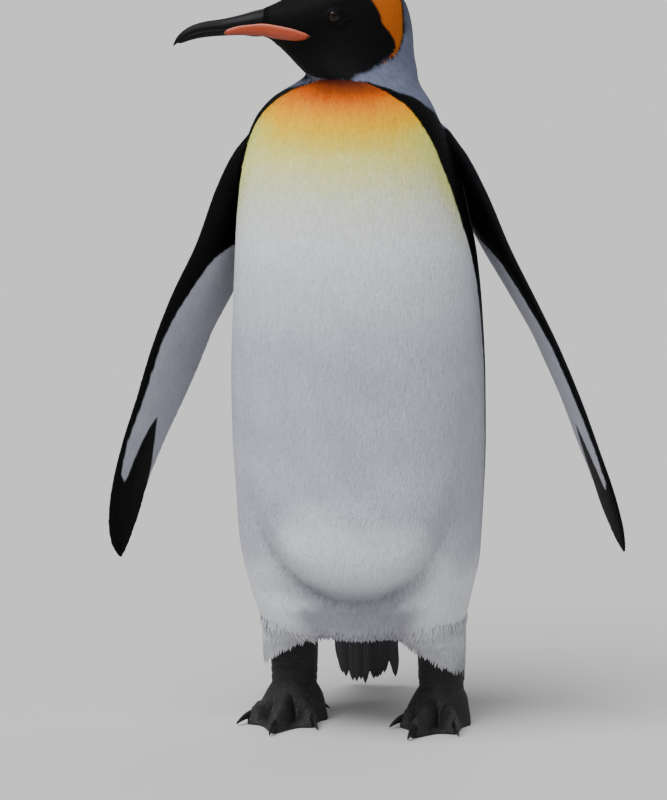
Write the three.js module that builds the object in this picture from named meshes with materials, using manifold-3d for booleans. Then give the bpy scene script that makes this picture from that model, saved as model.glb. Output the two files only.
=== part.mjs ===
// A king penguin, life size, standing with its head turned to its right.
// Millimetres, +Z up. The bird faces -Y, its left side is +X, and the floor is z = 0.
// Each piece of the bird is one closed solid, and neighbours are parted by a thin gap.

import * as THREE from "three";
import { mergeVertices } from "three/addons/utils/BufferGeometryUtils.js";
import Module from "manifold-3d";

const wasm = await Module();
wasm.setup();

// ---------------------------------------------------------------- driving dimensions

const GAP = 0.3; // air between neighbouring pieces
const ORIGIN = new THREE.Vector3(-6, -26, 0); // moves the bird over the middle of its own footprint

const RING_SIDES = 24; // corners of a body section
const RINGS_PER_STATION = 2; // sections from one body station to the next

// Body stations from the underside up the trunk and neck, and over the head to the bill.
// front and back are [reach forward of the neck axis, height]. half is the half width,
// square the squareness of the section, sway the shift to the bird's left, and turn the
// turn of the section about the neck axis in degrees, negative to the bird's right.
const BODY = [
  { front: [60, 101], back: [-50, 101], half: 70, square: 2.0, sway: 3, turn: 0 },
  { front: [91, 103], back: [-78, 104], half: 99, square: 2.0, sway: 3, turn: 0 },
  { front: [100, 111], back: [-89, 112], half: 107, square: 2.1, sway: 3, turn: 0 },
  { front: [105, 129], back: [-97, 130], half: 113, square: 2.25, sway: 2, turn: 0 },
  { front: [107, 150], back: [-102, 150], half: 118.5, square: 2.3, sway: 1, turn: 0 },
  { front: [117, 172], back: [-105, 172], half: 123.5, square: 2.3, sway: 1, turn: 0 },
  { front: [126, 205], back: [-107, 205], half: 127, square: 2.3, sway: 0, turn: 0 },
  { front: [128, 240], back: [-106, 240], half: 129, square: 2.3, sway: 0, turn: 0 },
  { front: [124, 300], back: [-104, 300], half: 132, square: 2.35, sway: -1, turn: 0 },
  { front: [121, 360], back: [-102, 360], half: 132.5, square: 2.35, sway: -2, turn: 0 },
  { front: [117, 430], back: [-99, 430], half: 130, square: 2.3, sway: -2.5, turn: -2 },
  { front: [110, 490], back: [-94, 490], half: 126, square: 2.3, sway: -4, turn: -5 },
  { front: [99, 545], back: [-87, 545], half: 120, square: 2.2, sway: -8, turn: -9 },
  { front: [86, 590], back: [-77, 592], half: 113, square: 2.1, sway: -12, turn: -13 },
  { front: [75, 625], back: [-69, 628], half: 102, square: 2.0, sway: -13, turn: -18 },
  { front: [67, 648], back: [-64, 652], half: 87, square: 2.0, sway: -10, turn: -22 },
  { front: [60, 665], back: [-60, 668], half: 68, square: 2.0, sway: -4, turn: -32 },
  { front: [59, 675], back: [-59, 683], half: 56, square: 2.0, sway: 0, turn: -48 },
  { front: [63, 681], back: [-56, 699], half: 49, square: 2.0, sway: 0, turn: -62 },
  { front: [69, 688], back: [-54, 720], half: 43, square: 2.0, sway: 0, turn: -72 },
  { front: [75, 695], back: [-47, 748], half: 38, square: 2.0, sway: 0, turn: -78 },
  { front: [80, 700], back: [-24, 771], half: 34.5, square: 2.0, sway: 0, turn: -80 },
  { front: [84, 704], back: [8, 779], half: 32, square: 2.0, sway: 0, turn: -80 },
  { front: [88, 707], back: [42, 773], half: 28, square: 2.0, sway: 0, turn: -80 },
  { front: [92, 711], back: [68, 761], half: 22.5, square: 2.0, sway: 0, turn: -80 },
  { front: [97, 714], back: [88, 751], half: 17, square: 2.0, sway: 0, turn: -80 },
  { front: [103, 716], back: [103, 744], half: 13, square: 2.0, sway: 0, turn: -80 },
  { front: [106, 722], back: [107, 739], half: 9, square: 2.0, sway: 0, turn: -80 },
];
const HEAD_TURN = -80; // degrees, the turn of the bill and eyes
const TRUNK_TOP = 655; // height of the level cut between trunk and neck
const HEAD_CUT = { reach: 64, height: 682, slope: -12, turn: -70 }; // plane between neck and head

// Bill stations along the head's own forward line: reach, culmen height, height of the
// closed mouth line, height of the lower edge, and half width.
const BILL = [
  { reach: 92, culmen: 746, mouth: 729, under: 717.5, half: 13 },
  { reach: 108, culmen: 742.8, mouth: 729.8, under: 716, half: 11.5 },
  { reach: 124, culmen: 738.4, mouth: 728.3, under: 717.7, half: 9.2 },
  { reach: 144, culmen: 734.2, mouth: 724.4, under: 717.2, half: 7.2 },
  { reach: 160, culmen: 732, mouth: 723.2, under: 716, half: 6 },
  { reach: 173, culmen: 728.3, mouth: 720.6, under: 714.4, half: 4.9 },
  { reach: 182, culmen: 722.8, mouth: 716.3, under: 713, half: 3.6 },
  { reach: 188, culmen: 716, mouth: 712.2, under: 711, half: 2.3 },
  { reach: 193, culmen: 710, mouth: 708.6, under: 708.2, half: 0.9 },
];
const BILL_SIDES = 8; // corners on the curved side of each half of the bill
const BILL_FULLNESS = 0.8; // below 1 the bill's section is fuller than an ellipse
const LOWER_BILL_STATIONS = 7; // the lower half ends before the hooked tip

// Coloured plate on each side of the lower bill, from its front point to the gape.
const PLATE = [
  { reach: 143, height: 721.6, out: 5.4, half: 0.8 },
  { reach: 138, height: 722, out: 6.2, half: 3.2 },
  { reach: 124, height: 724.2, out: 7.6, half: 4.9 },
  { reach: 104, height: 724.4, out: 10.6, half: 6.4 },
  { reach: 88, height: 722.4, out: 16, half: 7.1 },
  { reach: 73, height: 720.4, out: 22, half: 6.4 },
  { reach: 62, height: 719, out: 25.2, half: 4.4 },
  { reach: 54, height: 718.6, out: 27.4, half: 1.2 },
];
const PLATE_THICKNESS = 3; // half thickness of the plate's lens section
const PLATE_THINNING = 4; // the plate thins out where its half height is less than this
const PLATE_SIDES = 8;

const EYE = { reach: 31, height: 740, out: 26.8, radius: 9 };
const EYE_SIDES = 14;
const EYE_RINGS = 8;

// Flipper stations by height: x of the leading edge, chord, angle of the chord from the
// bird's own left-right line, and thickness. The edge's place across is measured outward.
const RIGHT_FLIPPER = [
  { height: 624, lead: 108, chord: 62, angle: 30, thick: 16 },
  { height: 592, lead: 132, chord: 74, angle: 33, thick: 20 },
  { height: 556, lead: 149, chord: 80, angle: 36, thick: 19 },
  { height: 500, lead: 169, chord: 82, angle: 40, thick: 15 },
  { height: 445, lead: 195, chord: 84, angle: 44, thick: 13 },
  { height: 390, lead: 215.5, chord: 84, angle: 51, thick: 12 },
  { height: 340, lead: 230.5, chord: 77, angle: 52, thick: 11 },
  { height: 290, lead: 246.5, chord: 67, angle: 53, thick: 9.5 },
  { height: 250, lead: 256.5, chord: 58, angle: 54, thick: 8 },
  { height: 222, lead: 261, chord: 50, angle: 53, thick: 7 },
  { height: 200, lead: 262, chord: 40, angle: 52, thick: 6 },
  { height: 184, lead: 260, chord: 28, angle: 52, thick: 5 },
  { height: 174, lead: 256.5, chord: 16, angle: 52, thick: 4 },
  { height: 168, lead: 253, chord: 5, angle: 52, thick: 3 },
];
const LEFT_FLIPPER = [
  { height: 624, lead: 88, chord: 62, angle: 50, thick: 16 },
  { height: 592, lead: 110, chord: 74, angle: 55, thick: 20 },
  { height: 556, lead: 129, chord: 80, angle: 59, thick: 19 },
  { height: 500, lead: 154, chord: 82, angle: 62, thick: 15 },
  { height: 445, lead: 182, chord: 84, angle: 66, thick: 13 },
  { height: 390, lead: 208.5, chord: 84, angle: 69, thick: 12 },
  { height: 340, lead: 229, chord: 77, angle: 69, thick: 11 },
  { height: 290, lead: 247, chord: 66, angle: 67, thick: 9.5 },
  { height: 250, lead: 261, chord: 57, angle: 66, thick: 8 },
  { height: 225, lead: 268, chord: 50, angle: 65, thick: 7 },
  { height: 205, lead: 272, chord: 38, angle: 65, thick: 6 },
  { height: 193, lead: 273, chord: 25, angle: 65, thick: 5 },
  { height: 186, lead: 273, chord: 13, angle: 65, thick: 4 },
  { height: 182, lead: 272.5, chord: 4, angle: 65, thick: 3 },
];
const FLIPPER_BACKSET = 8; // y of the flipper's middle line
const FLIPPER_FORE = 0.45; // share of the chord in front of that line
const EDGE_THICKNESS = 1.2; // the thin trailing edge
const BLADE_STEPS = 4; // steps across each face of the blade
const BLADE_CROWDING = 1.4; // above 1 the steps crowd towards the round leading edge
const BLADE_FULLNESS = 2.58; // how soon the section reaches its full thickness
const BLADE_TAPER = 0.9; // how it thins towards the trailing edge
const BLADE_RINGS_PER_STATION = 2;

// Legs: centres of each ankle and feathered thigh, the outer height of the thigh's hem and
// how sharply the hem bends, and the toes and side pads by heading (degrees towards the
// bird's right) and reach from the ankle to the end.
const LEGS = {
  right: {
    ankle: [-70.5, 12],
    thigh: [-66, 8],
    hem: { outer: 62, bend: 2.2 },
    toes: { outer: [47, 60], middle: [9, 88], inner: [-24, 58] },
    pads: [[70, 47], [-66, 38]],
  },
  left: {
    ankle: [83.5, 1],
    thigh: [71, 3],
    hem: { outer: 56, bend: 1.1 },
    toes: { outer: [-17, 64], middle: [15, 88], inner: [50, 50] },
    pads: [[-55, 36], [74, 40]],
  },
};
const TARSUS = { halfWidth: 24, halfDepth: 21, foot: 8, top: 104, levels: 3, flare: 0.08 };
const THIGH = { halfWidth: 39, halfDepth: 46, top: 135, innerHem: 96, levels: 4, flare: 0 };
const COLUMN_SIDES = 20; // corners of a leg's section
const ANKLE_HEIGHT = 40; // height of the foot at the ankle
const HEEL_REACH = 25;
const TOE_HEIGHT = 15; // height of a toe near its claw
const TOE_HALF_WIDTH = 12.5;
const WEB_HEIGHT = 4.5;
const SOLE_EDGE = 2.4; // height of the rim round the sole
const WEB_DIP = 0.22; // how far the web's edge draws in between two toes
const TIP_ROUNDING = 0.12; // how far a toe's end draws back at its corners
const DOME_SPREAD = 1.7; // radius of the ankle's dome, in heel reaches
const TOE_SLOPE = 1.4; // how steeply a toe's back falls from the ankle
const FOOT_SIDES = 36; // corners of the sole's outline
const FOOT_SHARES = [0.36, 0.64, 0.88]; // rings of the upper side, as shares of the outline's reach
const CLAW = { length: 25, radius: 4.6, drop: 8 };
const HALLUX = { length: 15, radius: 2.6, drop: 7 };
const CLAW_ROOT = 9; // how far inside the toe's end a claw starts
const CLAW_HEIGHT = 9; // height of a claw's root
const CLAW_STEPS = 5;
const CLAW_SIDES = 8;
const CLAW_TIP = 0.5; // radius of its point
const CLAW_TAPER = 0.6; // below 1 the claw keeps its thickness until near the point
const CLAW_NARROWING = 0.75; // its width as a share of its height
const CLAW_RISE = 0.15; // how far its root stands above the given height, in radii
const HALLUX_START = 22; // reach of the small hind claw's root, on the inner side of the foot
const HALLUX_HEIGHT = 15;
const HALLUX_HEADING = 95; // degrees from straight ahead, towards the other foot

// Tail stations from the rump to the tip, which rests on the floor.
const TAIL = [
  { back: 78, height: 184, half: 54, thick: 44 },
  { back: 103, height: 146, half: 54, thick: 38 },
  { back: 125, height: 108, half: 48, thick: 28 },
  { back: 144, height: 74, half: 41, thick: 18 },
  { back: 160, height: 42, half: 33, thick: 11 },
  { back: 171, height: 17, half: 25, thick: 8 },
  { back: 180, height: -6, half: 17, thick: 6 },
];
const TAIL_X = -6; // the tail hangs a little to the bird's right
const TAIL_SIDES = 12;

// ---------------------------------------------------------------- curves and lofts

const radians = (degrees) => (degrees * Math.PI) / 180;
const up = new THREE.Vector3(0, 0, 1);

// A smooth curve through equally spaced values that never overshoots them.
function smooth(values, position) {
  const last = values.length - 1;
  const at = Math.min(Math.max(Math.floor(position), 0), last - 1);
  const slope = (i) => {
    if (i <= 0 || i >= last) return i <= 0 ? values[1] - values[0] : values[last] - values[last - 1];
    const before = values[i] - values[i - 1];
    const after = values[i + 1] - values[i];
    return before * after <= 0 ? 0 : (2 * before * after) / (before + after);
  };
  const s = position - at;
  const rise = values[at + 1] - values[at];
  const m0 = slope(at);
  const m1 = slope(at + 1);
  return values[at] + s * m0 + s * s * (3 * rise - 2 * m0 - m1) + s * s * s * (m0 + m1 - 2 * rise);
}

// Rings sampled from stations: each number (or list of numbers) of a station is smoothed.
function resample(stations, perStation) {
  const count = (stations.length - 1) * perStation;
  const blend = (pick, position) => {
    const first = pick(stations[0]);
    if (Array.isArray(first)) {
      return first.map((_, k) => smooth(stations.map((s) => pick(s)[k]), position));
    }
    return smooth(stations.map(pick), position);
  };
  const sampled = [];
  for (let i = 0; i <= count; i += 1) {
    const position = i / perStation;
    const names = Object.keys(stations[0]);
    sampled.push(Object.fromEntries(names.map((name) => [name, blend((s) => s[name], position)])));
  }
  return sampled;
}

// A closed solid through rings of points, with a fan over each end.
function loft(rings) {
  const sides = rings[0].length;
  const points = rings.flat();
  const index = [];
  for (let i = 0; i < rings.length - 1; i += 1) {
    for (let j = 0; j < sides; j += 1) {
      const a = i * sides + j;
      const b = i * sides + ((j + 1) % sides);
      index.push(a, b, b + sides, a, b + sides, a + sides);
    }
  }
  const middle = (ring) => {
    const sum = ring.reduce((total, p) => total.add(p), new THREE.Vector3());
    return sum.divideScalar(ring.length);
  };
  const foot = points.push(middle(rings[0])) - 1;
  const head = points.push(middle(rings[rings.length - 1])) - 1;
  const top = (rings.length - 1) * sides;
  for (let j = 0; j < sides; j += 1) {
    index.push(foot, (j + 1) % sides, j);
    index.push(head, top + j, top + ((j + 1) % sides));
  }
  const geometry = new THREE.BufferGeometry();
  const numbers = points.flatMap((p) => [p.x, p.y, p.z]);
  geometry.setAttribute("position", new THREE.Float32BufferAttribute(numbers, 3));
  geometry.setIndex(index);
  return geometry;
}

// A power of a cosine or sine that keeps its sign: the superellipse.
const bulge = (value, square) => Math.sign(value) * Math.abs(value) ** (2 / square);

// A point of the head's or body's own frame, turned about the upright neck axis.
function turned(reach, out, height, turn) {
  const angle = radians(turn);
  const x = out * Math.cos(angle) + reach * Math.sin(angle);
  const y = out * Math.sin(angle) - reach * Math.cos(angle);
  return new THREE.Vector3(x, y, height);
}

// ---------------------------------------------------------------- solids

// A three.js geometry as a solid that can be cut.
function solid(geometry) {
  const bare = geometry.clone();
  bare.deleteAttribute("normal");
  bare.deleteAttribute("uv");
  const welded = mergeVertices(bare, 1e-4);
  const mesh = new wasm.Mesh({
    numProp: 3,
    vertProperties: new Float32Array(welded.attributes.position.array),
    triVerts: new Uint32Array(welded.index.array),
  });
  const made = new wasm.Manifold(mesh);
  return made.volume() < 0 ? solid(flipped(geometry)) : made;
}

// The same surface with its triangles facing the other way.
function flipped(geometry) {
  const turnedOver = geometry.clone();
  const index = turnedOver.index.array;
  for (let i = 0; i < index.length; i += 3) {
    [index[i], index[i + 1]] = [index[i + 1], index[i]];
  }
  return turnedOver;
}

// The half of space on the positive side of a plane, as a large box.
function halfSpace(point, normal) {
  const size = 3000;
  const box = new THREE.BoxGeometry(size, size, size);
  box.translate(0, 0, size / 2);
  box.applyQuaternion(new THREE.Quaternion().setFromUnitVectors(up, normal));
  box.translate(point.x, point.y, point.z);
  return solid(box);
}

const group = new THREE.Group();
group.position.copy(ORIGIN);

// The main body of a cut solid, without the slivers that a cut may leave beside it.
function mainBody(made) {
  const bodies = made.decompose();
  return bodies.reduce((best, other) => (other.volume() > best.volume() ? other : best));
}

// Adds one named piece of the bird with its own material.
function add(name, made, colour, roughness) {
  const mesh = mainBody(made).getMesh();
  const geometry = new THREE.BufferGeometry();
  geometry.setAttribute("position", new THREE.BufferAttribute(new Float32Array(mesh.vertProperties), 3));
  geometry.setIndex(new THREE.BufferAttribute(new Uint32Array(mesh.triVerts), 1));
  geometry.computeVertexNormals();
  const material = new THREE.MeshStandardMaterial({ color: colour, roughness, metalness: 0 });
  const piece = new THREE.Mesh(geometry, material);
  piece.name = name;
  group.add(piece);
}

// ---------------------------------------------------------------- trunk, neck and head

// The whole body tube, grown by a margin on every side.
function bodyTube(margin) {
  const rings = resample(BODY, RINGS_PER_STATION).map((s) => {
    const ring = [];
    const [frontReach, frontHeight] = s.front;
    const [backReach, backHeight] = s.back;
    const span = Math.hypot(backReach - frontReach, backHeight - frontHeight);
    const grow = margin / span;
    for (let j = 0; j < RING_SIDES; j += 1) {
      const angle = (2 * Math.PI * j) / RING_SIDES;
      const along = 0.5 - (0.5 + grow) * bulge(Math.cos(angle), s.square);
      const out = (s.half + margin) * bulge(Math.sin(angle), s.square);
      const reach = frontReach + (backReach - frontReach) * along;
      const height = frontHeight + (backHeight - frontHeight) * along;
      const point = turned(reach, out, height, s.turn);
      point.x += s.sway;
      ring.push(point);
    }
    return ring;
  });
  const ends = [rings[0], rings[rings.length - 1]];
  ends[0].forEach((p) => p.addScaledVector(up, -margin));
  ends[1].forEach((p) => p.addScaledVector(turned(1, 0, 0, HEAD_TURN), margin));
  return solid(loft(rings));
}

const body = bodyTube(0);
const bodyMargin = bodyTube(GAP);

const headTilt = radians(HEAD_CUT.slope);
const headNormal = turned(Math.sin(-headTilt), 0, Math.cos(headTilt), HEAD_CUT.turn);
const headPoint = turned(HEAD_CUT.reach, 0, HEAD_CUT.height, HEAD_CUT.turn);
const shifted = (point, normal, by) => point.clone().addScaledVector(normal, by);
const trunkCut = new THREE.Vector3(0, 0, TRUNK_TOP);

const belowTrunkTop = halfSpace(shifted(trunkCut, up, -GAP / 2), up.clone().negate());
const aboveTrunkTop = halfSpace(shifted(trunkCut, up, GAP / 2), up);
const belowHead = halfSpace(shifted(headPoint, headNormal, -GAP / 2), headNormal.clone().negate());
const aboveHead = halfSpace(shifted(headPoint, headNormal, GAP / 2), headNormal);

// ---------------------------------------------------------------- bill, plates and eyes

// One half of the bill: a D section with its flat side on the mouth line.
function billHalf(stations, edge, margin) {
  const rings = stations.map((s) => {
    const ring = [];
    for (let j = 0; j <= BILL_SIDES; j += 1) {
      const angle = (Math.PI * j) / BILL_SIDES;
      const deep = (s[edge] - s.mouth) * Math.sin(angle) ** BILL_FULLNESS;
      const mouth = s.mouth + (Math.sign(s[edge] - s.mouth) * GAP) / 2;
      ring.push(turned(s.reach, (s.half + margin) * Math.cos(angle), mouth + deep, HEAD_TURN));
    }
    return ring;
  });
  return solid(loft(rings));
}

// The plate on one side of the lower bill, a lens section along the jaw.
function plate(side, margin) {
  const rings = PLATE.map((s) => {
    const ring = [];
    for (let j = 0; j < PLATE_SIDES; j += 1) {
      const angle = (2 * Math.PI * j) / PLATE_SIDES;
      const thick = PLATE_THICKNESS * Math.min(1, s.half / PLATE_THINNING) + margin;
      const out = side * (s.out + thick * Math.cos(angle));
      const height = s.height + (s.half + margin) * Math.sin(angle);
      ring.push(turned(s.reach, out, height, HEAD_TURN));
    }
    return ring;
  });
  rings[0].forEach((p) => p.addScaledVector(turned(1, 0, 0, HEAD_TURN), margin));
  rings[rings.length - 1].forEach((p) => p.addScaledVector(turned(1, 0, 0, HEAD_TURN), -margin));
  return solid(loft(rings));
}

function eye(side, margin) {
  const ball = new THREE.SphereGeometry(EYE.radius + margin, EYE_SIDES, EYE_RINGS);
  const centre = turned(EYE.reach, side * EYE.out, EYE.height, HEAD_TURN);
  ball.translate(centre.x, centre.y, centre.z);
  return solid(ball);
}

const SIDES = { right: -1, left: 1 };
let head = body.intersect(aboveHead);
let lowerBill = billHalf(BILL.slice(0, LOWER_BILL_STATIONS), "under", 0).subtract(bodyMargin);
const upperBill = billHalf(BILL, "culmen", 0).subtract(bodyMargin);

for (const [name, side] of Object.entries(SIDES)) {
  head = head.subtract(plate(side, GAP)).subtract(eye(side, GAP));
  lowerBill = lowerBill.subtract(plate(side, GAP));
  add(`bill_plate_${name}`, plate(side, 0).subtract(billHalf(BILL, "culmen", GAP)), 0xa5603f, 0.35);
  add(`eye_${name}`, eye(side, 0), 0x2a140c, 0.1);
}
add("head", head, 0x0d0d0e, 0.6);
add("neck", body.intersect(aboveTrunkTop).intersect(belowHead), 0x6f7880, 0.7);
add("bill_upper", upperBill, 0x16161a, 0.35);
add("bill_lower", lowerBill, 0x1c1b1d, 0.35);

// ---------------------------------------------------------------- flippers

// A blade of level sections: rounded leading edge, thin trailing edge.
function flipper(stations, side, margin) {
  const rings = resample(stations, BLADE_RINGS_PER_STATION).map((s) => {
    const angle = radians(s.angle);
    const across = new THREE.Vector3(-side * Math.cos(angle), Math.sin(angle), 0);
    const face = new THREE.Vector3(-side * Math.sin(angle), -Math.cos(angle), 0);
    const lead = new THREE.Vector3(side * s.lead, 0, s.height);
    lead.y = FLIPPER_BACKSET - FLIPPER_FORE * s.chord * Math.sin(angle);
    const ring = [];
    const place = (share, sign) => {
      const full = BLADE_FULLNESS * Math.sqrt(share) * (1 - share) ** BLADE_TAPER;
      const half = (s.thick / 2) * Math.min(1, full) + margin;
      const edge = EDGE_THICKNESS / 2 + margin;
      const point = lead.clone().addScaledVector(across, share * s.chord);
      return point.addScaledVector(face, sign * Math.max(half, edge));
    };
    const share = (j) => (j / BLADE_STEPS) ** BLADE_CROWDING;
    for (let j = 0; j <= BLADE_STEPS; j += 1) ring.push(place(share(j), 1));
    for (let j = BLADE_STEPS; j >= 0; j -= 1) ring.push(place(share(j), -1));
    return ring;
  });
  return solid(loft(rings));
}

add("flipper_right", flipper(RIGHT_FLIPPER, SIDES.right, 0).subtract(bodyMargin), 0x202226, 0.6);
add("flipper_left", flipper(LEFT_FLIPPER, SIDES.left, 0).subtract(bodyMargin), 0x202226, 0.6);

// ---------------------------------------------------------------- tail

// A wedge of stiff feathers: each section lies across the line of the tail.
function tail(margin) {
  const rings = TAIL.map((s, i) => {
    const next = TAIL[Math.min(i + 1, TAIL.length - 1)];
    const last = TAIL[Math.max(i - 1, 0)];
    const along = new THREE.Vector2(next.back - last.back, next.height - last.height).normalize();
    const ring = [];
    for (let j = 0; j < TAIL_SIDES; j += 1) {
      const angle = (2 * Math.PI * j) / TAIL_SIDES;
      const rise = (s.thick / 2 + margin) * Math.sin(angle);
      const x = TAIL_X + (s.half + margin) * Math.cos(angle);
      ring.push(new THREE.Vector3(x, s.back - along.y * rise, s.height + along.x * rise));
    }
    return ring;
  });
  return solid(loft(rings));
}

const floor = halfSpace(new THREE.Vector3(0, 0, 0), up);
add("tail", tail(0).subtract(bodyMargin).intersect(floor), 0x17181a, 0.6);

// ---------------------------------------------------------------- legs and feet

// A point at a heading (towards the bird's right) and distance from an ankle.
function fromAnkle(leg, heading, reach, height) {
  const angle = radians(heading);
  const [x, y] = leg.ankle;
  return new THREE.Vector3(x - reach * Math.sin(angle), y - reach * Math.cos(angle), height);
}

const toesAndPads = (leg) => [...Object.values(leg.toes), ...leg.pads];

// The sole's outline: toes, webs between them, and a round heel.
function soleReach(leg, heading) {
  const toes = toesAndPads(leg).sort((a, b) => a[0] - b[0]);
  for (let i = 0; i < toes.length - 1; i += 1) {
    const [from, fromReach] = toes[i];
    const [to, toReach] = toes[i + 1];
    if (heading >= from && heading <= to) {
      const share = (heading - from) / (to - from);
      const chord = fromReach * (1 - share) + toReach * share;
      return chord * (1 - WEB_DIP * Math.sin(Math.PI * share));
    }
  }
  const nearest = heading < toes[0][0] ? toes[0] : toes[toes.length - 1];
  const away = Math.abs(heading - nearest[0]);
  const round = Math.asin(Math.min(1, TOE_HALF_WIDTH / nearest[1])) * (180 / Math.PI);
  if (away <= round) return nearest[1] * (1 - TIP_ROUNDING * (away / round) ** 2);
  const side = TOE_HALF_WIDTH / Math.sin(radians(Math.min(away, 90)));
  return Math.max(HEEL_REACH, Math.min(side, nearest[1] * (1 - TIP_ROUNDING)));
}

// Height of the foot's upper side: a dome at the ankle, ridges on the toes, thin webs.
function footHeight(leg, heading, reach) {
  const dome = ANKLE_HEIGHT * Math.sqrt(Math.max(0, 1 - (reach / (HEEL_REACH * DOME_SPREAD)) ** 2));
  let top = Math.max(WEB_HEIGHT, dome);
  for (const [toeHeading, toeReach] of toesAndPads(leg)) {
    const away = radians(heading - toeHeading);
    const along = reach * Math.cos(away);
    const aside = Math.abs(reach * Math.sin(away)) / TOE_HALF_WIDTH;
    if (along > 0 && aside < 1) {
      const run = Math.min(1, along / toeReach);
      const ridge = TOE_HEIGHT + (ANKLE_HEIGHT - TOE_HEIGHT) * (1 - run) ** TOE_SLOPE;
      top = Math.max(top, ridge * Math.sqrt(1 - aside * aside));
    }
  }
  return top;
}

// The foot as one solid: an upper side over a flat sole.
function foot(leg, margin) {
  const headings = [...Array(FOOT_SIDES).keys()].map((i) => (360 * i) / FOOT_SIDES - 180);
  const ring = (share, height) =>
    headings.map((heading) => {
      const reach = soleReach(leg, heading) * share;
      const grown = share === 1 ? reach + margin : reach;
      return fromAnkle(leg, heading, grown, height(heading, reach));
    });
  const upper = FOOT_SHARES.map((share) => ring(share, (h, r) => footHeight(leg, h, r) + margin));
  const rim = ring(1, () => SOLE_EDGE + margin);
  const sole = ring(1, () => -margin);
  return solid(loft([...upper, rim, sole]));
}

// A curved claw from just inside the end of a toe.
function claw(leg, heading, start, size, height) {
  const rings = [];
  for (let i = 0; i <= CLAW_STEPS; i += 1) {
    const share = i / CLAW_STEPS;
    const reach = start + size.length * share;
    const radius = size.radius * (1 - share) ** CLAW_TAPER + CLAW_TIP;
    const middle = height - size.drop * share * share + size.radius * CLAW_RISE;
    const ring = [];
    for (let j = 0; j < CLAW_SIDES; j += 1) {
      const angle = (2 * Math.PI * j) / CLAW_SIDES;
      const centre = fromAnkle(leg, heading, reach, middle + radius * Math.sin(angle));
      const across = new THREE.Vector3(Math.cos(radians(heading)), -Math.sin(radians(heading)), 0);
      ring.push(centre.addScaledVector(across, CLAW_NARROWING * radius * Math.cos(angle)));
    }
    rings.push(ring);
  }
  return solid(loft(rings)).intersect(floor);
}

// An upright oval column from a low edge, which may vary across the bird, to its top.
function column(centre, size, margin, low) {
  const { halfWidth, halfDepth, top, levels, flare } = size;
  const rings = [];
  for (let i = 0; i <= levels; i += 1) {
    const share = i / levels;
    const grow = 1 + flare * share;
    const ring = [];
    for (let j = 0; j < COLUMN_SIDES; j += 1) {
      const angle = (2 * Math.PI * j) / COLUMN_SIDES;
      const across = Math.cos(angle);
      const x = centre[0] + (halfWidth + margin) * grow * across;
      const y = centre[1] + (halfDepth + margin) * grow * Math.sin(angle);
      ring.push(new THREE.Vector3(x, y, low(across) + (top - low(across)) * share));
    }
    rings.push(ring);
  }
  return solid(loft(rings));
}

for (const [name, leg] of Object.entries(LEGS)) {
  const side = SIDES[name];
  const hem = (across) => {
    const outward = (1 + side * across) / 2;
    return THIGH.innerHem + (leg.hem.outer - THIGH.innerHem) * outward ** leg.hem.bend;
  };
  const thigh = (margin) => column(leg.thigh, THIGH, margin, (across) => hem(across) - margin);
  const shin = column(leg.ankle, TARSUS, 0, () => TARSUS.foot);
  const bareShin = shin.subtract(thigh(GAP)).subtract(bodyMargin).subtract(foot(leg, GAP));
  add(`thigh_${name}`, thigh(0).subtract(bodyMargin), 0xc9ccd0, 0.8);
  add(`tarsus_${name}`, bareShin, 0x1d1d1f, 0.75);
  add(`foot_${name}`, foot(leg, 0), 0x1d1d1f, 0.75);
  const nails = Object.entries(leg.toes).map(([toe, [heading, reach]]) => [
    toe,
    claw(leg, heading, reach - CLAW_ROOT, CLAW, CLAW_HEIGHT),
  ]);
  nails.push(["hallux", claw(leg, side * HALLUX_HEADING, HALLUX_START, HALLUX, HALLUX_HEIGHT)]);
  for (const [toe, nail] of nails) {
    add(`claw_${name}_${toe}`, nail.subtract(foot(leg, GAP)), 0x131313, 0.4);
  }
}

add("trunk", body.intersect(belowTrunkTop), 0xb9bdc4, 0.8);

export default group;
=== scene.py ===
"""A king penguin, life size, standing with its head turned to its right.

Shapes are worked out in millimetres in the bird's own frame. ORIGIN moves them over the middle of its
footprint, and they become metres when a mesh is made. The bird faces -Y, its left side is +X, +Z is up
and the floor is z = 0. Angles are degrees. A part's surface is a function of s, the place along the part,
and a, the angle round it, so skin, markings and coat of feathers share the same two numbers.
"""

import math

import bmesh
import bpy
import numpy as np
from mathutils import Matrix
from mathutils.bvhtree import BVHTree
from mathutils.kdtree import KDTree


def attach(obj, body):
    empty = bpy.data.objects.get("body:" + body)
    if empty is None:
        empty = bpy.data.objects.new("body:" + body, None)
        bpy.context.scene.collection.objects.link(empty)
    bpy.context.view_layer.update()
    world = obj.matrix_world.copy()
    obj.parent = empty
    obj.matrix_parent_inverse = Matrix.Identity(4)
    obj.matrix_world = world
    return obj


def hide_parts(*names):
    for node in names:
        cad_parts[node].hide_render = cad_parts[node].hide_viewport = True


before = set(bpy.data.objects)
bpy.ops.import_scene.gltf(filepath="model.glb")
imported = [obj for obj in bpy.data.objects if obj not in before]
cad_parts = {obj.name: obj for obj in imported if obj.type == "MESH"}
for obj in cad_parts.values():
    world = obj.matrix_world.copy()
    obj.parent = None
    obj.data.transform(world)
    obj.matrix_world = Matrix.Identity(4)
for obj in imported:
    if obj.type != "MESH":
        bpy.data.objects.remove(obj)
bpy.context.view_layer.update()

MM = 0.001
ORIGIN = np.array([-6.0, -26.0, 0.0])
UP = np.array([0.0, 0.0, 1.0])
SIDES = {"right": -1, "left": 1}

# ------------------------------------------------------------------ dimensions

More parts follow.
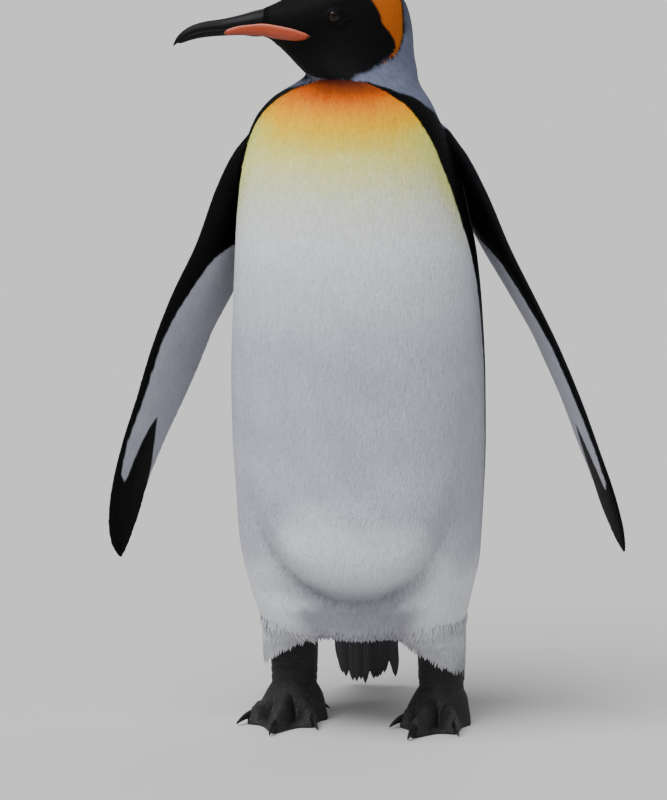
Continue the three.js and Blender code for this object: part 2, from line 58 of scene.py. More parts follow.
# Body stations from the underside up the trunk and neck and over the head to the bill: front reach and
# height, back reach and height, half width, squareness, sway to the bird's left, and turn of the section.
BODY = np.array([
    (60, 101, -50, 101, 70, 2.0, 3, 0),
    (91, 103, -78, 104, 99, 2.0, 3, 0),
    (100, 111, -89, 112, 107, 2.1, 3, 0),
    (105, 129, -97, 130, 113, 2.25, 2, 0),
    (107, 150, -102, 150, 118.5, 2.3, 1, 0),
    (117, 172, -105, 172, 123.5, 2.3, 1, 0),
    (126, 205, -107, 205, 127, 2.3, 0, 0),
    (128, 240, -106, 240, 129, 2.3, 0, 0),
    (124, 300, -104, 300, 132, 2.35, -1, 0),
    (121, 360, -102, 360, 132.5, 2.35, -2, 0),
    (117, 430, -99, 430, 130, 2.3, -2.5, -2),
    (110, 490, -94, 490, 126, 2.3, -4, -5),
    (99, 545, -87, 545, 120, 2.2, -8, -9),
    (86, 590, -77, 592, 113, 2.1, -12, -13),
    (75, 625, -69, 628, 102, 2.0, -13, -18),
    (67, 648, -64, 652, 87, 2.0, -10, -22),
    (60, 665, -60, 668, 68, 2.0, -4, -32),
    (59, 675, -59, 683, 56, 2.0, 0, -48),
    (63, 681, -56, 699, 49, 2.0, 0, -62),
    (69, 688, -54, 720, 43, 2.0, 0, -72),
    (75, 695, -47, 748, 38, 2.0, 0, -78),
    (80, 700, -24, 771, 34.5, 2.0, 0, -80),
    (84, 704, 8, 779, 32, 2.0, 0, -80),
    (88, 707, 42, 773, 28, 2.0, 0, -80),
    (92, 711, 68, 761, 22.5, 2.0, 0, -80),
    (97, 714, 88, 751, 17, 2.0, 0, -80),
    (103, 716, 103, 744, 13, 2.0, 0, -80),
    (106, 722, 107, 739, 9, 2.0, 0, -80),
], float)
BODY_TOP = len(BODY) - 1.0
BODY_BOTTOM = -0.98  # below station 0 the rings close over the underside
SKIN_BOTTOM = -0.97
HEAD_TURN = -80
BODY_DEPTH = ([0, 14, 18, 27], [2.4, 2.4, 1.2, 1.0])  # depth of the coat by station

# Bill: reach, culmen height, mouth line height, height of the lower edge, half width.
BILL = np.array([
    (92, 746, 729, 717.5, 13),
    (108, 742.8, 729.8, 716, 11.5),
    (124, 738.4, 728.3, 717.7, 9.2),
    (144, 734.2, 724.4, 717.2, 7.2),
    (160, 732, 723.2, 716, 6),
    (173, 728.3, 720, 713.6, 4.9),
    (182, 723.2, 715.4, 710.8, 3.9),
    (188, 717.6, 710.8, 708.4, 2.9),
    (193, 711, 706.8, 706.4, 1.4),
])
# The halves of the bill: column of the outer edge, number of stations, and depth of the groove.
BILL_HALVES = {"bill_upper": (1, len(BILL), 0.7), "bill_lower": (3, 8, 0.3)}
BILL_GAP = 0.15  # from the mouth line to each half
# Coloured plate of the lower bill: reach, height, distance out, half height.
PLATE = np.array([
    (143, 721.6, 5.4, 0.8),
    (138, 722, 6.2, 3.2),
    (124, 724.2, 7.6, 4.9),
    (104, 724.4, 10.6, 6.4),
    (88, 722.4, 16, 7.1),
    (73, 720.4, 22, 6.4),
    (62, 719, 25.2, 4.4),
    (54, 718.6, 27.4, 1.2),
])
PLATE_THICKNESS = 3.0
PLATE_LEAN = 2.0  # how far the plate's upper edge leans out over the cheek
EYE = {"reach": 31, "height": 740, "out": 26.8, "radius": 9.0}
# Section of the eyelid: distance from the middle of the eye, and distance out.
EYELID = [(5.0, 7.2), (5.2, 8.1), (5.8, 8.35), (6.7, 8.0), (7.8, 6.9), (9.2, 5.6), (9.6, 3.2), (7.0, 2.4)]

# Flippers: height, x of the leading edge, chord, angle of the chord, thickness.
FLIPPERS = {
    "right": np.array([
        (624, 108, 62, 30, 16),
        (592, 132, 74, 33, 20),
        (556, 149, 80, 36, 19),
        (500, 169, 82, 40, 15),
        (445, 195, 84, 44, 13),
        (390, 215.5, 84, 51, 12),
        (340, 230.5, 77, 52, 11),
        (290, 246.5, 67, 53, 9.5),
        (250, 256.5, 58, 54, 8),
        (222, 261, 50, 53, 7),
        (200, 262, 40, 52, 6),
        (184, 260, 28, 52, 5),
        (174, 256.5, 16, 52, 4),
        (168, 253, 5, 52, 3),
    ]),
    "left": np.array([
        (624, 88, 62, 50, 16),
        (592, 110, 74, 55, 20),
        (556, 129, 80, 59, 19),
        (500, 154, 82, 62, 15),
        (445, 182, 84, 66, 13),
        (390, 208.5, 84, 69, 12),
        (340, 229, 77, 69, 11),
        (290, 247, 66, 67, 9.5),
        (250, 261, 57, 66, 8),
        (225, 268, 50, 65, 7),
        (205, 272, 38, 65, 6),
        (193, 273, 25, 65, 5),
        (186, 273, 13, 65, 4),
        (182, 272.5, 4, 65, 3),
    ]),
}
FLIPPER_BACKSET = 8
FLIPPER_FORE = 0.45
FLIPPER_DEPTH = 0.7  # depth of the flippers' scale-like coat
FLIPPER_EDGE = 0.45  # half thickness of the skin at the trailing edge
FLIPPER_CHORD = 75  # usual width of a flipper

LEGS = {
    "right": {
        "ankle": (-70.5, 12),
        "thigh": (-66, 8),
        "hem": (62, 2.2),
        "fillet": 30,
        "toes": {"outer": (47, 64), "middle": (9, 92), "inner": (-24, 62)},
        "pads": [(70, 47), (-66, 38)],
    },
    "left": {
        "ankle": (83.5, 1),
        "thigh": (71, 3),
        "hem": (56, 1.1),
        "fillet": 24,
        "toes": {"outer": (-17, 68), "middle": (15, 92), "inner": (50, 54)},
        "pads": [(-55, 36), (74, 40)],
    },
}
TARSUS = {"half_width": 23.4, "half_depth": 20.4, "foot": 6, "top": 112}
THIGH = {"half_width": 39, "half_depth": 46, "top": 140, "inner_hem": 96}
THIGH_DEPTH = 2.4
ANKLE_HEIGHT = 40
HEEL_REACH = 25
TOE_HEIGHT = 13.5
TOE_HALF_WIDTH = 12.5
WEB_HEIGHT = 4.5
SOLE_EDGE = 2.4
WEB_DIP = 0.22
CLAW = {"length": 21, "radius": 4.2, "drop": 7.5}
HALLUX = {"length": 15, "radius": 2.6, "drop": 7}
HALLUX_START = 22
HALLUX_HEIGHT = 15
HALLUX_HEADING = 95
CLAW_ROOT = 9
CLAW_HEIGHT = 9

# Tail: distance back, height, half width, thickness.
TAIL = np.array([
    (78, 184, 54, 44),
    (103, 146, 54, 38),
    (125, 108, 48, 28),
    (144, 74, 41, 18),
    (160, 42, 33, 11),
    (171, 17, 25, 8),
    (180, -6, 17, 6),
], float)
TAIL_X = -6
TAIL_ROOT_END = 3.4  # station where the fleshy root of the tail stops
TAIL_DEPTH = 4.0
TAIL_FEATHER_START = 1.1  # station where the stiff feathers leave the root
# Layers of tail feathers: layer, number of feathers, and rise as a share of the root's half thickness.
TAIL_LAYERS = ((0, 11, -0.3), (1, 10, 0.35), (2, 9, 0.8))
# Corners of a feather's section: share of its half width, and distance above its middle.
FEATHER_SECTION = [(-1, 0), (-0.5, 0.35), (0, 0.75), (0.5, 0.35), (1, 0), (0, -0.45)]

FOLD_ANGLE = 44  # how far the fold under the belly reaches to each side
FOLD_CURVE = 0.0011  # how fast it rises from the middle, in stations for a squared degree

# Rings and corners of each part of the skin.
SKIN_RINGS = {
    "body": (170, 150),
    "flipper": (90, 48),
    "thigh": (36, 64),
    "shin": (84, 80),
    "tail": (36, 48),
}
FOOT_RINGS = 56
FOOT_SIDES = 320
JOIN_RADIUS = 7.0  # reach of the smoothing where two parts of the skin meet
HEM_JOIN_RADIUS = 9.0  # further reach where the belly meets the thighs

SEEDS = {"tail_feathers": 81, "body": 100, "flipper": 200, "thigh": 300, "tail": 400}
PAINT = "plumage"  # the colour layer of every mesh

# ------------------------------------------------------------------ curves


def smooth(values, at):
    """A smooth curve through equally spaced values that never overshoots them."""
    values = np.asarray(values, float)
    steps = np.diff(values)
    before, after = steps[:-1], steps[1:]
    same = before * after > 0
    inner = np.zeros(len(before))
    inner[same] = 2 * before[same] * after[same] / (before[same] + after[same])
    slopes = np.concatenate([steps[:1], inner, steps[-1:]])
    i = np.clip(np.floor(at).astype(int), 0, len(steps) - 1)
    s = at - i
    m0, m1, rise = slopes[i], slopes[i + 1], steps[i]
    return values[i] + s * (m0 + s * (3 * rise - 2 * m0 - m1 + s * (m0 + m1 - 2 * rise)))


def step(low, high, x):
    """0 below low, 1 above high, and a smooth rise between. It falls where low is above high."""
    x = np.clip((x - low) / (high - low), 0, 1)
    return x * x * (3 - 2 * x)


def hump(x, middle, width):
    return np.exp(-(((x - middle) / width) ** 2))


def power(value, square):
    """A power of a cosine or sine that keeps its sign: the superellipse."""
    return np.sign(value) * np.abs(value) ** (2 / square)


def mix(one, other, share):
    return one + (other - one) * share[..., None]


def vectors(x, y, z):
    return np.stack(np.broadcast_arrays(x, y, z), -1).astype(float)


def turned(reach, out, height, turn):
    """A point of the head's or body's own frame, turned about the upright neck axis."""
    angle = np.radians(turn)
    x = out * np.cos(angle) + reach * np.sin(angle)
    y = out * np.sin(angle) - reach * np.cos(angle)
    return vectors(x, y, height)


def unit(v):
    return v / np.maximum(np.linalg.norm(v, axis=-1, keepdims=True), 1e-9)


# ------------------------------------------------------------------ surfaces


class Surface:
    """Points of s and a, with the directions along, round and out of the surface at each of them."""

    def __init__(self, point, low, high, outward, small):
        self.point, self.low, self.high = point, low, high
        self.outward, self.small = outward, small

    def slopes(self, s, a):
        """Millimetres and direction for one unit of s and for one degree of a."""
        upper = np.minimum(s + self.small, self.high)
        lower = np.maximum(s - self.small, self.low)
        along = (self.point(upper, a) - self.point(lower, a)) / (upper - lower)[..., None]
        across = (self.point(s, a + 1) - self.point(s, a - 1)) / 2
        return along, across

    def normal(self, s, a):
        along, across = self.slopes(s, a)
        return unit(np.cross(across, along)) * self.outward


def body_tube(s, a):
    """The outline of trunk, neck and head. Below station 0 the rings close over the underside."""
    t = np.clip(s, 0, BODY_TOP)
    closing = 1 + np.minimum(s, 0)
    front, front_height, back, back_height, half, square, sway, turn = (smooth(c, t) for c in BODY.T)
    angle = np.radians(a)
    along = 0.5 - 0.5 * power(np.cos(angle), square) * closing
    out = half * power(np.sin(angle), square) * closing
    height = front_height + (back_height - front_height) * along
    points = turned(front + (back - front) * along, out, height, turn)
    points[..., 0] += sway
    return points


TUBE = Surface(body_tube, BODY_BOTTOM, BODY_TOP, 1, 0.02)


def turned_angle(a):
    """An angle as the same angle between -180 and 180."""
    return (np.asarray(a) + 180) % 360 - 180


def fold_fade(a):
    return np.exp(-((a / FOLD_ANGLE) ** 4))


def belly_fold(s, a):
    """How far the skin draws in under the belly, in millimetres."""
    a = turned_angle(a)
    crease = 3.85 + FOLD_CURVE * a**2
    groove = 5.0 * hump(s, crease - 0.1, 0.36)
    recess = 15.0 * step(crease + 1.6, crease - 0.3, s) * (0.6 + 0.4 * step(0.5, 2.6, s))
    notch = 2.2 * hump(a, 1, 3.2) * step(2.0, 2.6, s) * step(4.0, 3.5, s)
    pockets = 9.0 * step(3.6, 1.0, s) * hump(np.abs(a), 36, 24)
    return ((groove + recess + notch) * fold_fade(a) + pockets) * (1 + np.minimum(s, 0))


def body_skin(s, a):
    normal = TUBE.normal(s, a)
    level = unit(normal * (1, 1, 0))
    depth = np.interp(s, *BODY_DEPTH)[..., None]
    return body_tube(s, a) - normal * depth - level * belly_fold(s, a)[..., None]


BODY_SKIN = Surface(body_skin, BODY_BOTTOM, BODY_TOP, 1, 0.03)


def chord_share(a):
    """How far from a flipper's leading edge to its trailing edge an angle round it lies, 0 to 1."""
    return (1 - np.cos(np.radians(a))) / 2


def flipper_surface(name, depth, edge):
    """A flipper's blade: a is 0 on the leading edge, 90 in front, 180 on the trailing edge, 270 behind."""
    side = SIDES[name]

    def point(s, a):
        height, lead, chord, angle, thick = (smooth(c, s) for c in FLIPPERS[name].T)
        turn = np.radians(angle)
        share = chord_share(a)
        full = np.minimum(1, 2.58 * np.sqrt(share) * np.maximum(1 - share, 0) ** 0.9)
        rounding = np.sqrt(np.clip((1 - share) / 0.012, 0, 1))
        half = np.maximum((thick / 2 - depth) * full, edge * rounding)
        wide = np.maximum(chord - 2 * depth, 0.5)
        across = vectors(-side * np.cos(turn), np.sin(turn), 0)
        face = vectors(-side * np.sin(turn), -np.cos(turn), 0)
        start = vectors(side * lead, FLIPPER_BACKSET - FLIPPER_FORE * chord * np.sin(turn), height)
        sign = np.sign(np.sin(np.radians(a)))
        return start + across * (depth + share * wide)[..., None] + face * (sign * half)[..., None]

    return Surface(point, 0, len(FLIPPERS[name]) - 1.0, side, 0.04)


def tail_root(s, a):
    back, height, half, thick = (smooth(c, s) for c in TAIL.T)
    later, earlier = (vectors(*(smooth(c, s + d) for c in TAIL.T[:2]), 0) for d in (0.05, -0.05))
    line = unit(later - earlier)
    end = 1 - 0.75 * step(TAIL_ROOT_END - 1.2, TAIL_ROOT_END, s)
    angle = np.radians(a)
    rise = (thick / 2 - TAIL_DEPTH) * np.sin(angle) * end
    x = TAIL_X + (half - TAIL_DEPTH) * np.cos(angle) * end
    return vectors(x, back - line[..., 1] * rise, height + line[..., 0] * rise)


TAIL_ROOT = Surface(tail_root, 0, TAIL_ROOT_END, -1, 0.04)


def thigh_surface(name):
    leg, side = LEGS[name], SIDES[name]
    outer, bend = leg["hem"]

    def point(s, a):
        angle = np.radians(a)
        across = np.cos(angle)
        outward = (1 + side * across) / 2
        low = THIGH["inner_hem"] + (outer - THIGH["inner_hem"]) * outward**bend
        size = 1 - 0.05 * (1 - s) ** 6
        x = leg["thigh"][0] + (THIGH["half_width"] - THIGH_DEPTH) * size * across
        fillet = leg["fillet"] * step(0.05, 0.75, s) * np.maximum(-np.sin(angle), 0)
        y = leg["thigh"][1] + (THIGH["half_depth"] - THIGH_DEPTH) * size * np.sin(angle) - fillet
        return vectors(x, y, low + (THIGH["top"] - low) * s)

    return Surface(point, 0, 1, 1, 0.01)


def shin_surface(name):
    """The bare tarsus, with folds where it meets the foot."""
    leg, side = LEGS[name], SIDES[name]

    def point(s, a):
        angle = np.radians(a)
        height = TARSUS["foot"] + (TARSUS["top"] - TARSUS["foot"]) * s
        wave = 1.6 * np.sin(angle * 2 + side) + 0.9 * np.sin(angle * 5)
        folds = -1.5 * hump(height, 38 + wave, 1.5) - 1.0 * hump(height, 44.5 - wave, 1.3)
        folds += -0.8 * hump(height, 31 + 1.4 * wave, 1.5) - 0.5 * hump(height, 56 + wave, 1.4)
        grow = 1 + 0.08 * s
        x = leg["ankle"][0] + (TARSUS["half_width"] * grow + folds) * np.cos(angle)
        y = leg["ankle"][1] + (TARSUS["half_depth"] * grow + folds) * np.sin(angle)
        return vectors(x, y, height)

    return Surface(point, 0, 1, 1, 0.01)


# ------------------------------------------------------------------ feet


def from_ankle(leg, heading, reach, height):
    """A point at a heading (towards the bird's right) and distance from an ankle."""
    angle = np.radians(heading)
    x, y = leg["ankle"]
    return vectors(x - reach * np.sin(angle), y - reach * np.cos(angle), height)


def toes_and_pads(leg):
    return sorted([*leg["toes"].values(), *leg["pads"]])


def sole_reach(leg, heading):
    """The sole's outline: toes, drawn-in webs between them, and a round heel."""
    toes = toes_and_pads(leg)
    reach = np.zeros_like(heading)
    for (start, near), (end, far) in zip(toes, toes[1:]):
        share = (heading - start) / (end - start)
        chord = near + (far - near) * share
        inside = (share >= 0) & (share <= 1)
        reach = np.where(inside, chord * (1 - WEB_DIP * np.sin(np.pi * np.clip(share, 0, 1))), reach)
    for (toe, far), outside in ((toes[0], heading < toes[0][0]), (toes[-1], heading > toes[-1][0])):
        away = np.abs(heading - toe)
        corner = math.degrees(math.asin(min(1, TOE_HALF_WIDTH / far)))
        tip = far * (1 - 0.12 * (away / corner) ** 2)
        flank = TOE_HALF_WIDTH / np.sin(np.radians(np.clip(away, 1, 90)))
        rest = np.maximum(HEEL_REACH, np.minimum(flank, far * 0.88))
        reach = np.where(outside, np.where(away <= corner, tip, rest), reach)
    return reach


def foot_height(leg, heading, reach):
    """Height of the foot's upper side: a dome at the ankle, scaled ridges on the toes, thin webs."""
    dome = ANKLE_HEIGHT * np.exp(-((np.maximum(reach - 18, 0) / 18) ** 2))
    wrinkles = 0.6 * np.sin(np.radians(heading * 14) + 0.1 * reach) * step(30, 50, reach)
    top = np.maximum(WEB_HEIGHT + wrinkles, dome)
    for toe, far in toes_and_pads(leg):
        away = np.radians(heading - toe)
        along = reach * np.cos(away)
        aside = np.abs(reach * np.sin(away)) / TOE_HALF_WIDTH
        run = np.clip(along / far, 0, 1)
        knuckles = 1.6 * hump(run, 0.52, 0.08) + 2.0 * hump(run, 0.8, 0.09)
        scutes = 0.9 * np.abs(np.sin(np.pi * (along + 2 * aside**2) / 5.2)) ** 0.5 - 0.7
        ridge = TOE_HEIGHT + (ANKLE_HEIGHT - TOE_HEIGHT) * (1 - run) ** 1.3 + knuckles
        ridge += scutes * step(0.25, 0.45, run)
        over = ridge * np.maximum(0, 1 - aside * aside) ** 0.85
        lower = np.minimum(top, over)
        blend = np.maximum(0, 1 - np.abs(top - over) / 3)
        joined = np.maximum(top, over) + 0.5 * blend**2 * (lower > 0)
        top = np.where((along > 0) & (aside < 1), joined, top)
    return top


def foot_rings(leg, sides, shares):
    """Rings from the ankle out over the upper side, round the rim and back under the flat sole."""
    heading = np.arange(sides) * 360 / sides - 180
    smoothing = np.array([1, 2, 3, 2, 1]) / 9
    outline = sole_reach(leg, heading)
    for _ in range(2):
        outline = np.convolve(np.concatenate([outline[-2:], outline, outline[:2]]), smoothing, "valid")
    rings = []
    for share in shares:
        reach = outline * share
        fall = np.sqrt(np.clip((1 - share) / 0.1, 0, 1))
        top = foot_height(leg, heading, reach)
        rings.append(from_ankle(leg, heading, reach, SOLE_EDGE + (top - SOLE_EDGE) * fall))
    for share, height in ((1.0, 0.9), (0.985, 0.0), (0.7, 0.0), (0.35, 0.0)):
        rings.append(from_ankle(leg, heading, outline * share, height))
    return rings


# ------------------------------------------------------------------ markings


def colour(red, green, blue):
    """A colour given as it looks on a screen, 0 to 255, as the linear numbers of a shader."""
    c = np.array([red, green, blue]) / 255
    return np.where(c <= 0.04045, c / 12.92, ((c + 0.055) / 1.055) ** 2.4)


# Colours of the plumage and skin.
WHITE = colour(226, 231, 240)
# Underside of the flippers: a white painted darker as shade.
SHADED_FLIPPER_WHITE = colour(186, 186, 196)
# Greyish white: on the mid belly partly a greyer tone of the feathers and partly painted shade; on the
# flippers painted shade.
GREYISH_SHADED_WHITE = colour(177, 178, 192)
# Painted shade: the crease under the belly's bulge and the flanks beside the white front.
PAINTED_SHADE_GREY = colour(128, 127, 138)
# Painted shade over the lower belly, under the bulge.
UNDER_BULGE_SHADE = colour(136, 134, 145)
# Darker white of the hem and thighs: partly soiling, partly painted shade.
SOILED_AND_SHADED_WHITE = colour(172, 170, 174)
BLACK = colour(5, 5, 6)
SLATE = colour(80, 85, 100)
NAPE = colour(106, 112, 132)
LEMON = colour(218, 224, 118)
EAR_ORANGE = colour(176, 88, 22)
EAR_YELLOW = colour(166, 92, 22)
TAIL_FEATHER = colour(72, 72, 74)
BARE_SKIN = colour(31, 30, 31)
LID_SKIN = colour(12, 11, 13)

# Bib colours from the throat down, by station.
BIB_STATIONS = [11.2, 12.0, 12.55, 13.1, 13.67, 14.15, 14.55, 14.9, 15.22, 15.6, 16.05, 16.8, 17.1]
BIB_COLOURS = np.array([
    colour(224, 227, 233),
    colour(225, 227, 217),
    colour(225, 229, 180),
    colour(232, 227, 138),
    colour(238, 210, 74),
    colour(250, 192, 8),
    colour(248, 172, 2),
    colour(242, 150, 2),
    colour(233, 129, 2),
    colour(210, 90, 3),
    colour(150, 64, 12),
    # The last two, dark brown, are painted shade under the hood.
    colour(84, 26, 8),
    colour(66, 19, 7),
])

# The white front: at each station, the angles of its edges on the bird's right and left.
FRONT = {
    "station": [-1, 2, 4, 8, 10.6, 11.7, 12.6, 13.1, 13.7, 14.5, 15.3, 15.7, 16.2, 16.9, 17.25],
    "right": [-180, -104, -98, -94, -86, -75, -66, -63, -62, -58, -51, -45, -26, 2, 28],
    "left": [180, 104, 96, 88, 86, 80, 76.5, 74, 73.5, 70, 66, 62, 60, 56.5, 32],
}
# Width in degrees of the black band outside it.
BAND = (
    [2, 4, 8, 10.6, 12, 13, 14.1, 14.6, 15, 15.6, 16, 16.6, 17.2],
    [3, 4, 5, 8, 18, 28, 34, 30, 22, 20, 11, 5, 4],
)
# The middle line of the throat, which the turn of the neck carries round.
MIDLINE = ([12, 15.3, 15.7, 16.2, 16.9, 17.3, 18, 19, 20], [5, 7, 9, 17, 29, 28, 20, 10, 0])
# Lowest station of the black hood by angle from that line.
HOOD = (
    [0, 22, 28, 40, 57, 72, 91, 108, 121, 140, 160, 180],
    [17.15, 17.2, 17.38, 17.61, 17.81, 17.99, 18.31, 18.6, 18.85, 19.4, 19.9, 20.1],
)
# The ear patch: front and rear edge by station, as angles from the middle line on the bird's left.
EAR = {
    "station": [18.1, 18.4, 18.75, 19.1, 19.46, 19.8, 20.2, 20.5, 20.9, 21.3, 21.6, 21.85, 21.95],
    "front": [79, 97, 111, 116, 118, 119, 123, 126, 130, 135, 140, 146, 149],
    "rear": [81, 102, 117, 128, 137, 147, 159, 162, 163, 161, 158, 154, 151],
}
# Underside of the flippers: share of the chord in the black leading band, and start of the black tip.
LEADING_BAND = (
    [0, 2.9, 3.1, 3.3, 3.5, 3.9, 4.3, 4.8, 6, 7, 7.8, 8.4],
    [1, 0.85, 0.5, 0.33, 0.28, 0.22, 0.15, 0.1, 0.09, 0.07, 0.12, 0.4],
)
TIP_PATCH = ([6.5, 6.7, 7.0, 7.4, 7.9, 8.4], [0.5, 0.43, 0.38, 0.34, 0.3, 0.1])
TIP_PATCH_REAR = ([6.5, 6.8, 7.3, 7.8, 8.4], [0.52, 0.62, 0.78, 0.93, 1.0])


def speckle(points, size, seed):
    """A smooth random value between -1 and 1 that changes over about size millimetres."""
    random = np.random.default_rng(seed)
    waves = random.normal(size=(10, 3))
    phases = random.uniform(0, 2 * np.pi, 10)
    total = sum(np.sin(points @ (w / size) * 2.2 + p) for w, p in zip(waves, phases))
    return total / 4.5


def body_colour(s, a, points):
    a = turned_angle(a)
    middle = np.interp(s, *MIDLINE)
    half = smooth(BODY[:, 4], np.clip(s, 0, BODY_TOP))
    degree = half * np.pi / 180  # millimetres round the body for one degree
    ragged = 0.7 * speckle(points, 5, 1) + 0.5 * speckle(points, 2.5, 2)
    right = np.interp(s, FRONT["station"], FRONT["right"])
    left = np.interp(s, FRONT["station"], FRONT["left"])
    sideways = np.minimum(a - right, left - a) * degree + ragged
    inside = np.minimum(sideways, (FRONT["station"][-1] - s) * 8)
    centre, reach = (left + right) / 2, np.maximum((left - right) / 2, 1)
    off = np.clip(np.abs(a - centre) / reach, 0, 1.2)

    level = s - 0.3 * off**2 * step(12.5, 14.5, s) + 0.1 * speckle(points, 14, 3)
    front = np.stack([np.interp(level, BIB_STATIONS, c) for c in BIB_COLOURS.T], -1)
    lemon = 0.7 * hump(sideways, 0, 28) * step(10.9, 12.6, s) * step(14.6, 13.6, s)
    front = mix(front, LEMON, lemon)
    # The mid belly and the lower sides turn greyish: partly a greyer tone of the feathers, partly painted
    # shade.
    lower = s + 1.7 * step(18, 60, np.abs(a)) + 0.25 * speckle(points, 30, 7)
    greyed_and_shaded = step(11.9, 8.9, s) * step(6.0, 7.6, lower) * (0.85 + 0.12 * speckle(points, 45, 4))
    front = mix(front, GREYISH_SHADED_WHITE, greyed_and_shaded)
    # Painted shade in the crease under the belly's bulge.
    fold = hump(s, 3.5 + FOLD_CURVE * a**2, 1.1) * fold_fade(a)
    front = mix(front, PAINTED_SHADE_GREY, 0.8 * fold)
    # Darker towards the hem: partly soiling, partly painted shade.
    front = mix(front, SOILED_AND_SHADED_WHITE, step(2.6, 0.6, s + 0.4 * speckle(points, 9, 5)) * 0.5)
    # Painted shade over the lower panel of the belly, under its bulge.
    bulge_shade = step(3.7, 2.9, s + 0.2 * speckle(points, 12, 5)) * step(48, 26, np.abs(a))
    front = mix(front, UNDER_BULGE_SHADE, 0.85 * bulge_shade)
    # Painted shade on the flanks, near the edges of the white front below the chest.
    front = mix(front, PAINTED_SHADE_GREY, 0.3 * step(30, 4, sideways) * step(11.5, 9.5, s))

    grey = mix(SLATE + 0 * front, NAPE, step(13.6, 15.8, s))
    grey = grey * (1 + 0.10 * speckle(points, 6, 6))[..., None]
    outside = -inside - np.interp(s, *BAND) * degree
    colours = mix(front, BLACK, step(-0.9, 0.9, -inside))
    colours = mix(colours, grey, step(-1.5, 2.0, outside))

    away = np.abs(turned_angle(a - middle))
    hood = (s - np.interp(away, *HOOD)) * 9 + 0.8 * ragged
    softness = 0.8 + 9 * step(125, 165, away)
    colours = mix(colours, BLACK, step(-softness, softness, hood))

    front_edge = np.interp(s, EAR["station"], EAR["front"])
    rear_edge = np.interp(s, EAR["station"], EAR["rear"])
    in_patch = np.minimum(away - front_edge, rear_edge - away) * degree + 0.5 * ragged
    in_patch = np.where((s > EAR["station"][0]) & (s < EAR["station"][-1]), in_patch, -9)
    colours = mix(colours, BLACK, step(-3.2, -1.6, in_patch) * step(17.9, 18.2, s))
    orange = mix(EAR_ORANGE + 0 * colours, EAR_YELLOW, step(6, 1, (rear_edge - away) * degree))
    return mix(colours, orange, step(-0.7, 0.7, in_patch))


def flipper_colour(s, a, points):
    """White underside with black leading edge and tip, and a slate upper side."""
    a = np.asarray(a) % 360
    share = chord_share(a)
    ragged = 0.5 * speckle(points, 6, 11)
    band = (np.interp(s, *LEADING_BAND) - share) * FLIPPER_CHORD + ragged
    front, rear = np.interp(s, *TIP_PATCH), np.interp(s, *TIP_PATCH_REAR)
    patch = np.minimum(share - front, rear - share) * FLIPPER_CHORD
    patch = np.where(s > TIP_PATCH[0][0], patch + 0.7 * ragged, -9)
    dark = np.maximum(band, patch)
    # The flippers' white underside is painted darker as shade, in random patches of two shaded whites.
    under = mix(SHADED_FLIPPER_WHITE + 0 * points, GREYISH_SHADED_WHITE, 0.5 + 0.5 * speckle(points, 20, 12))
    under = mix(under, BLACK, step(-0.9, 0.9, dark))
    upper = mix(SLATE * 0.7 + 0 * points, BLACK, step(0.22, 0.06, share) * 0.9)
    upper = upper * (1 + 0.12 * speckle(points, 5, 13))[..., None]
    behind = step(-2, 2, 4 - a) + step(182, 186, a)
    return mix(under, upper, np.clip(behind, 0, 1))


def thigh_colour(s, a, points):
    # The thighs are darker all over and more so near their lower edge: partly soiling, partly painted shade
    # under the belly.
    tone = 0.4 + 0.4 * step(0.35, 0.0, s + 0.1 * speckle(points, 8, 21))
    return mix(WHITE + 0 * points, SOILED_AND_SHADED_WHITE, tone)


def tail_colour(s, a, points):
    tone = mix(SLATE + 0 * points, TAIL_FEATHER * 0.8, step(0.8, 2.4, s))
    return tone * (1 + 0.15 * speckle(points, 6, 31))[..., None]


def bare_colour(s, a, points):
    tone = 1 + 0.16 * speckle(points, 14, 41) + 0.12 * speckle(points, 3, 42)
    return BARE_SKIN * tone[..., None]


# ------------------------------------------------------------------ meshes


def placed(name, data):
    """A new object of the scene that holds a mesh, a light or a camera."""
    item = bpy.data.objects.new(name, data)
    bpy.context.scene.collection.objects.link(item)
    return item


def make_object(name, points, faces, colours=None):
    """A mesh from millimetre points in the bird's frame and a list of faces."""
    mesh = bpy.data.meshes.new(name)
    mesh.from_pydata(((points + ORIGIN) * MM).tolist(), [], [list(f) for f in faces])
    if colours is not None:
        paint(mesh, colours)
    mesh.shade_smooth()
    return placed(name, mesh)


def paint(mesh, colours):
    """Stores one linear colour for each vertex."""
    layer = mesh.color_attributes.new(PAINT, "FLOAT_COLOR", "POINT")
    rgba = np.ones((len(mesh.vertices), 4), np.float32)
    rgba[:, :3] = np.clip(colours, 0, 1)
    layer.data.foreach_set("color", rgba.ravel())


def lofted(rings):
    """Points and faces through rings of points, with a fan over each end."""
    rings = np.asarray(rings, float)
    count, sides = rings.shape[:2]
    i, j = np.meshgrid(np.arange(count - 1), np.arange(sides), indexing="ij")
    a, b = i * sides + j, i * sides + (j + 1) % sides
    faces = np.stack([a, b, b + sides, a + sides], -1).reshape(-1, 4).tolist()
    points = np.concatenate([rings.reshape(-1, 3), rings[:1].mean(1), rings[-1:].mean(1)])
    low, high, top = len(points) - 2, len(points) - 1, (count - 1) * sides
    for k in range(sides):
        faces.append([low, (k + 1) % sides, k])
        faces.append([high, top + k, top + (k + 1) % sides])
    return points, faces


def with_ends(tints):
    """The colours of a loft's rings, followed by those of the middle points of its two ends."""
    return np.concatenate([tints, tints[:1], tints[-1:]])


def face_outward(mesh):
    """Turns every face of a closed mesh to the outside."""
    form = bmesh.new()
    form.from_mesh(mesh)
    bmesh.ops.recalc_face_normals(form, faces=form.faces)
    if form.calc_volume(signed=True) < 0:
        bmesh.ops.reverse_faces(form, faces=form.faces)
    form.to_mesh(mesh)
    form.free()


def surface_rings(surface, low, high, rings, sides):
    s, a = np.meshgrid(np.linspace(low, high, rings), np.arange(sides) * 360 / sides, indexing="ij")
    return surface.point(s, a), s, a


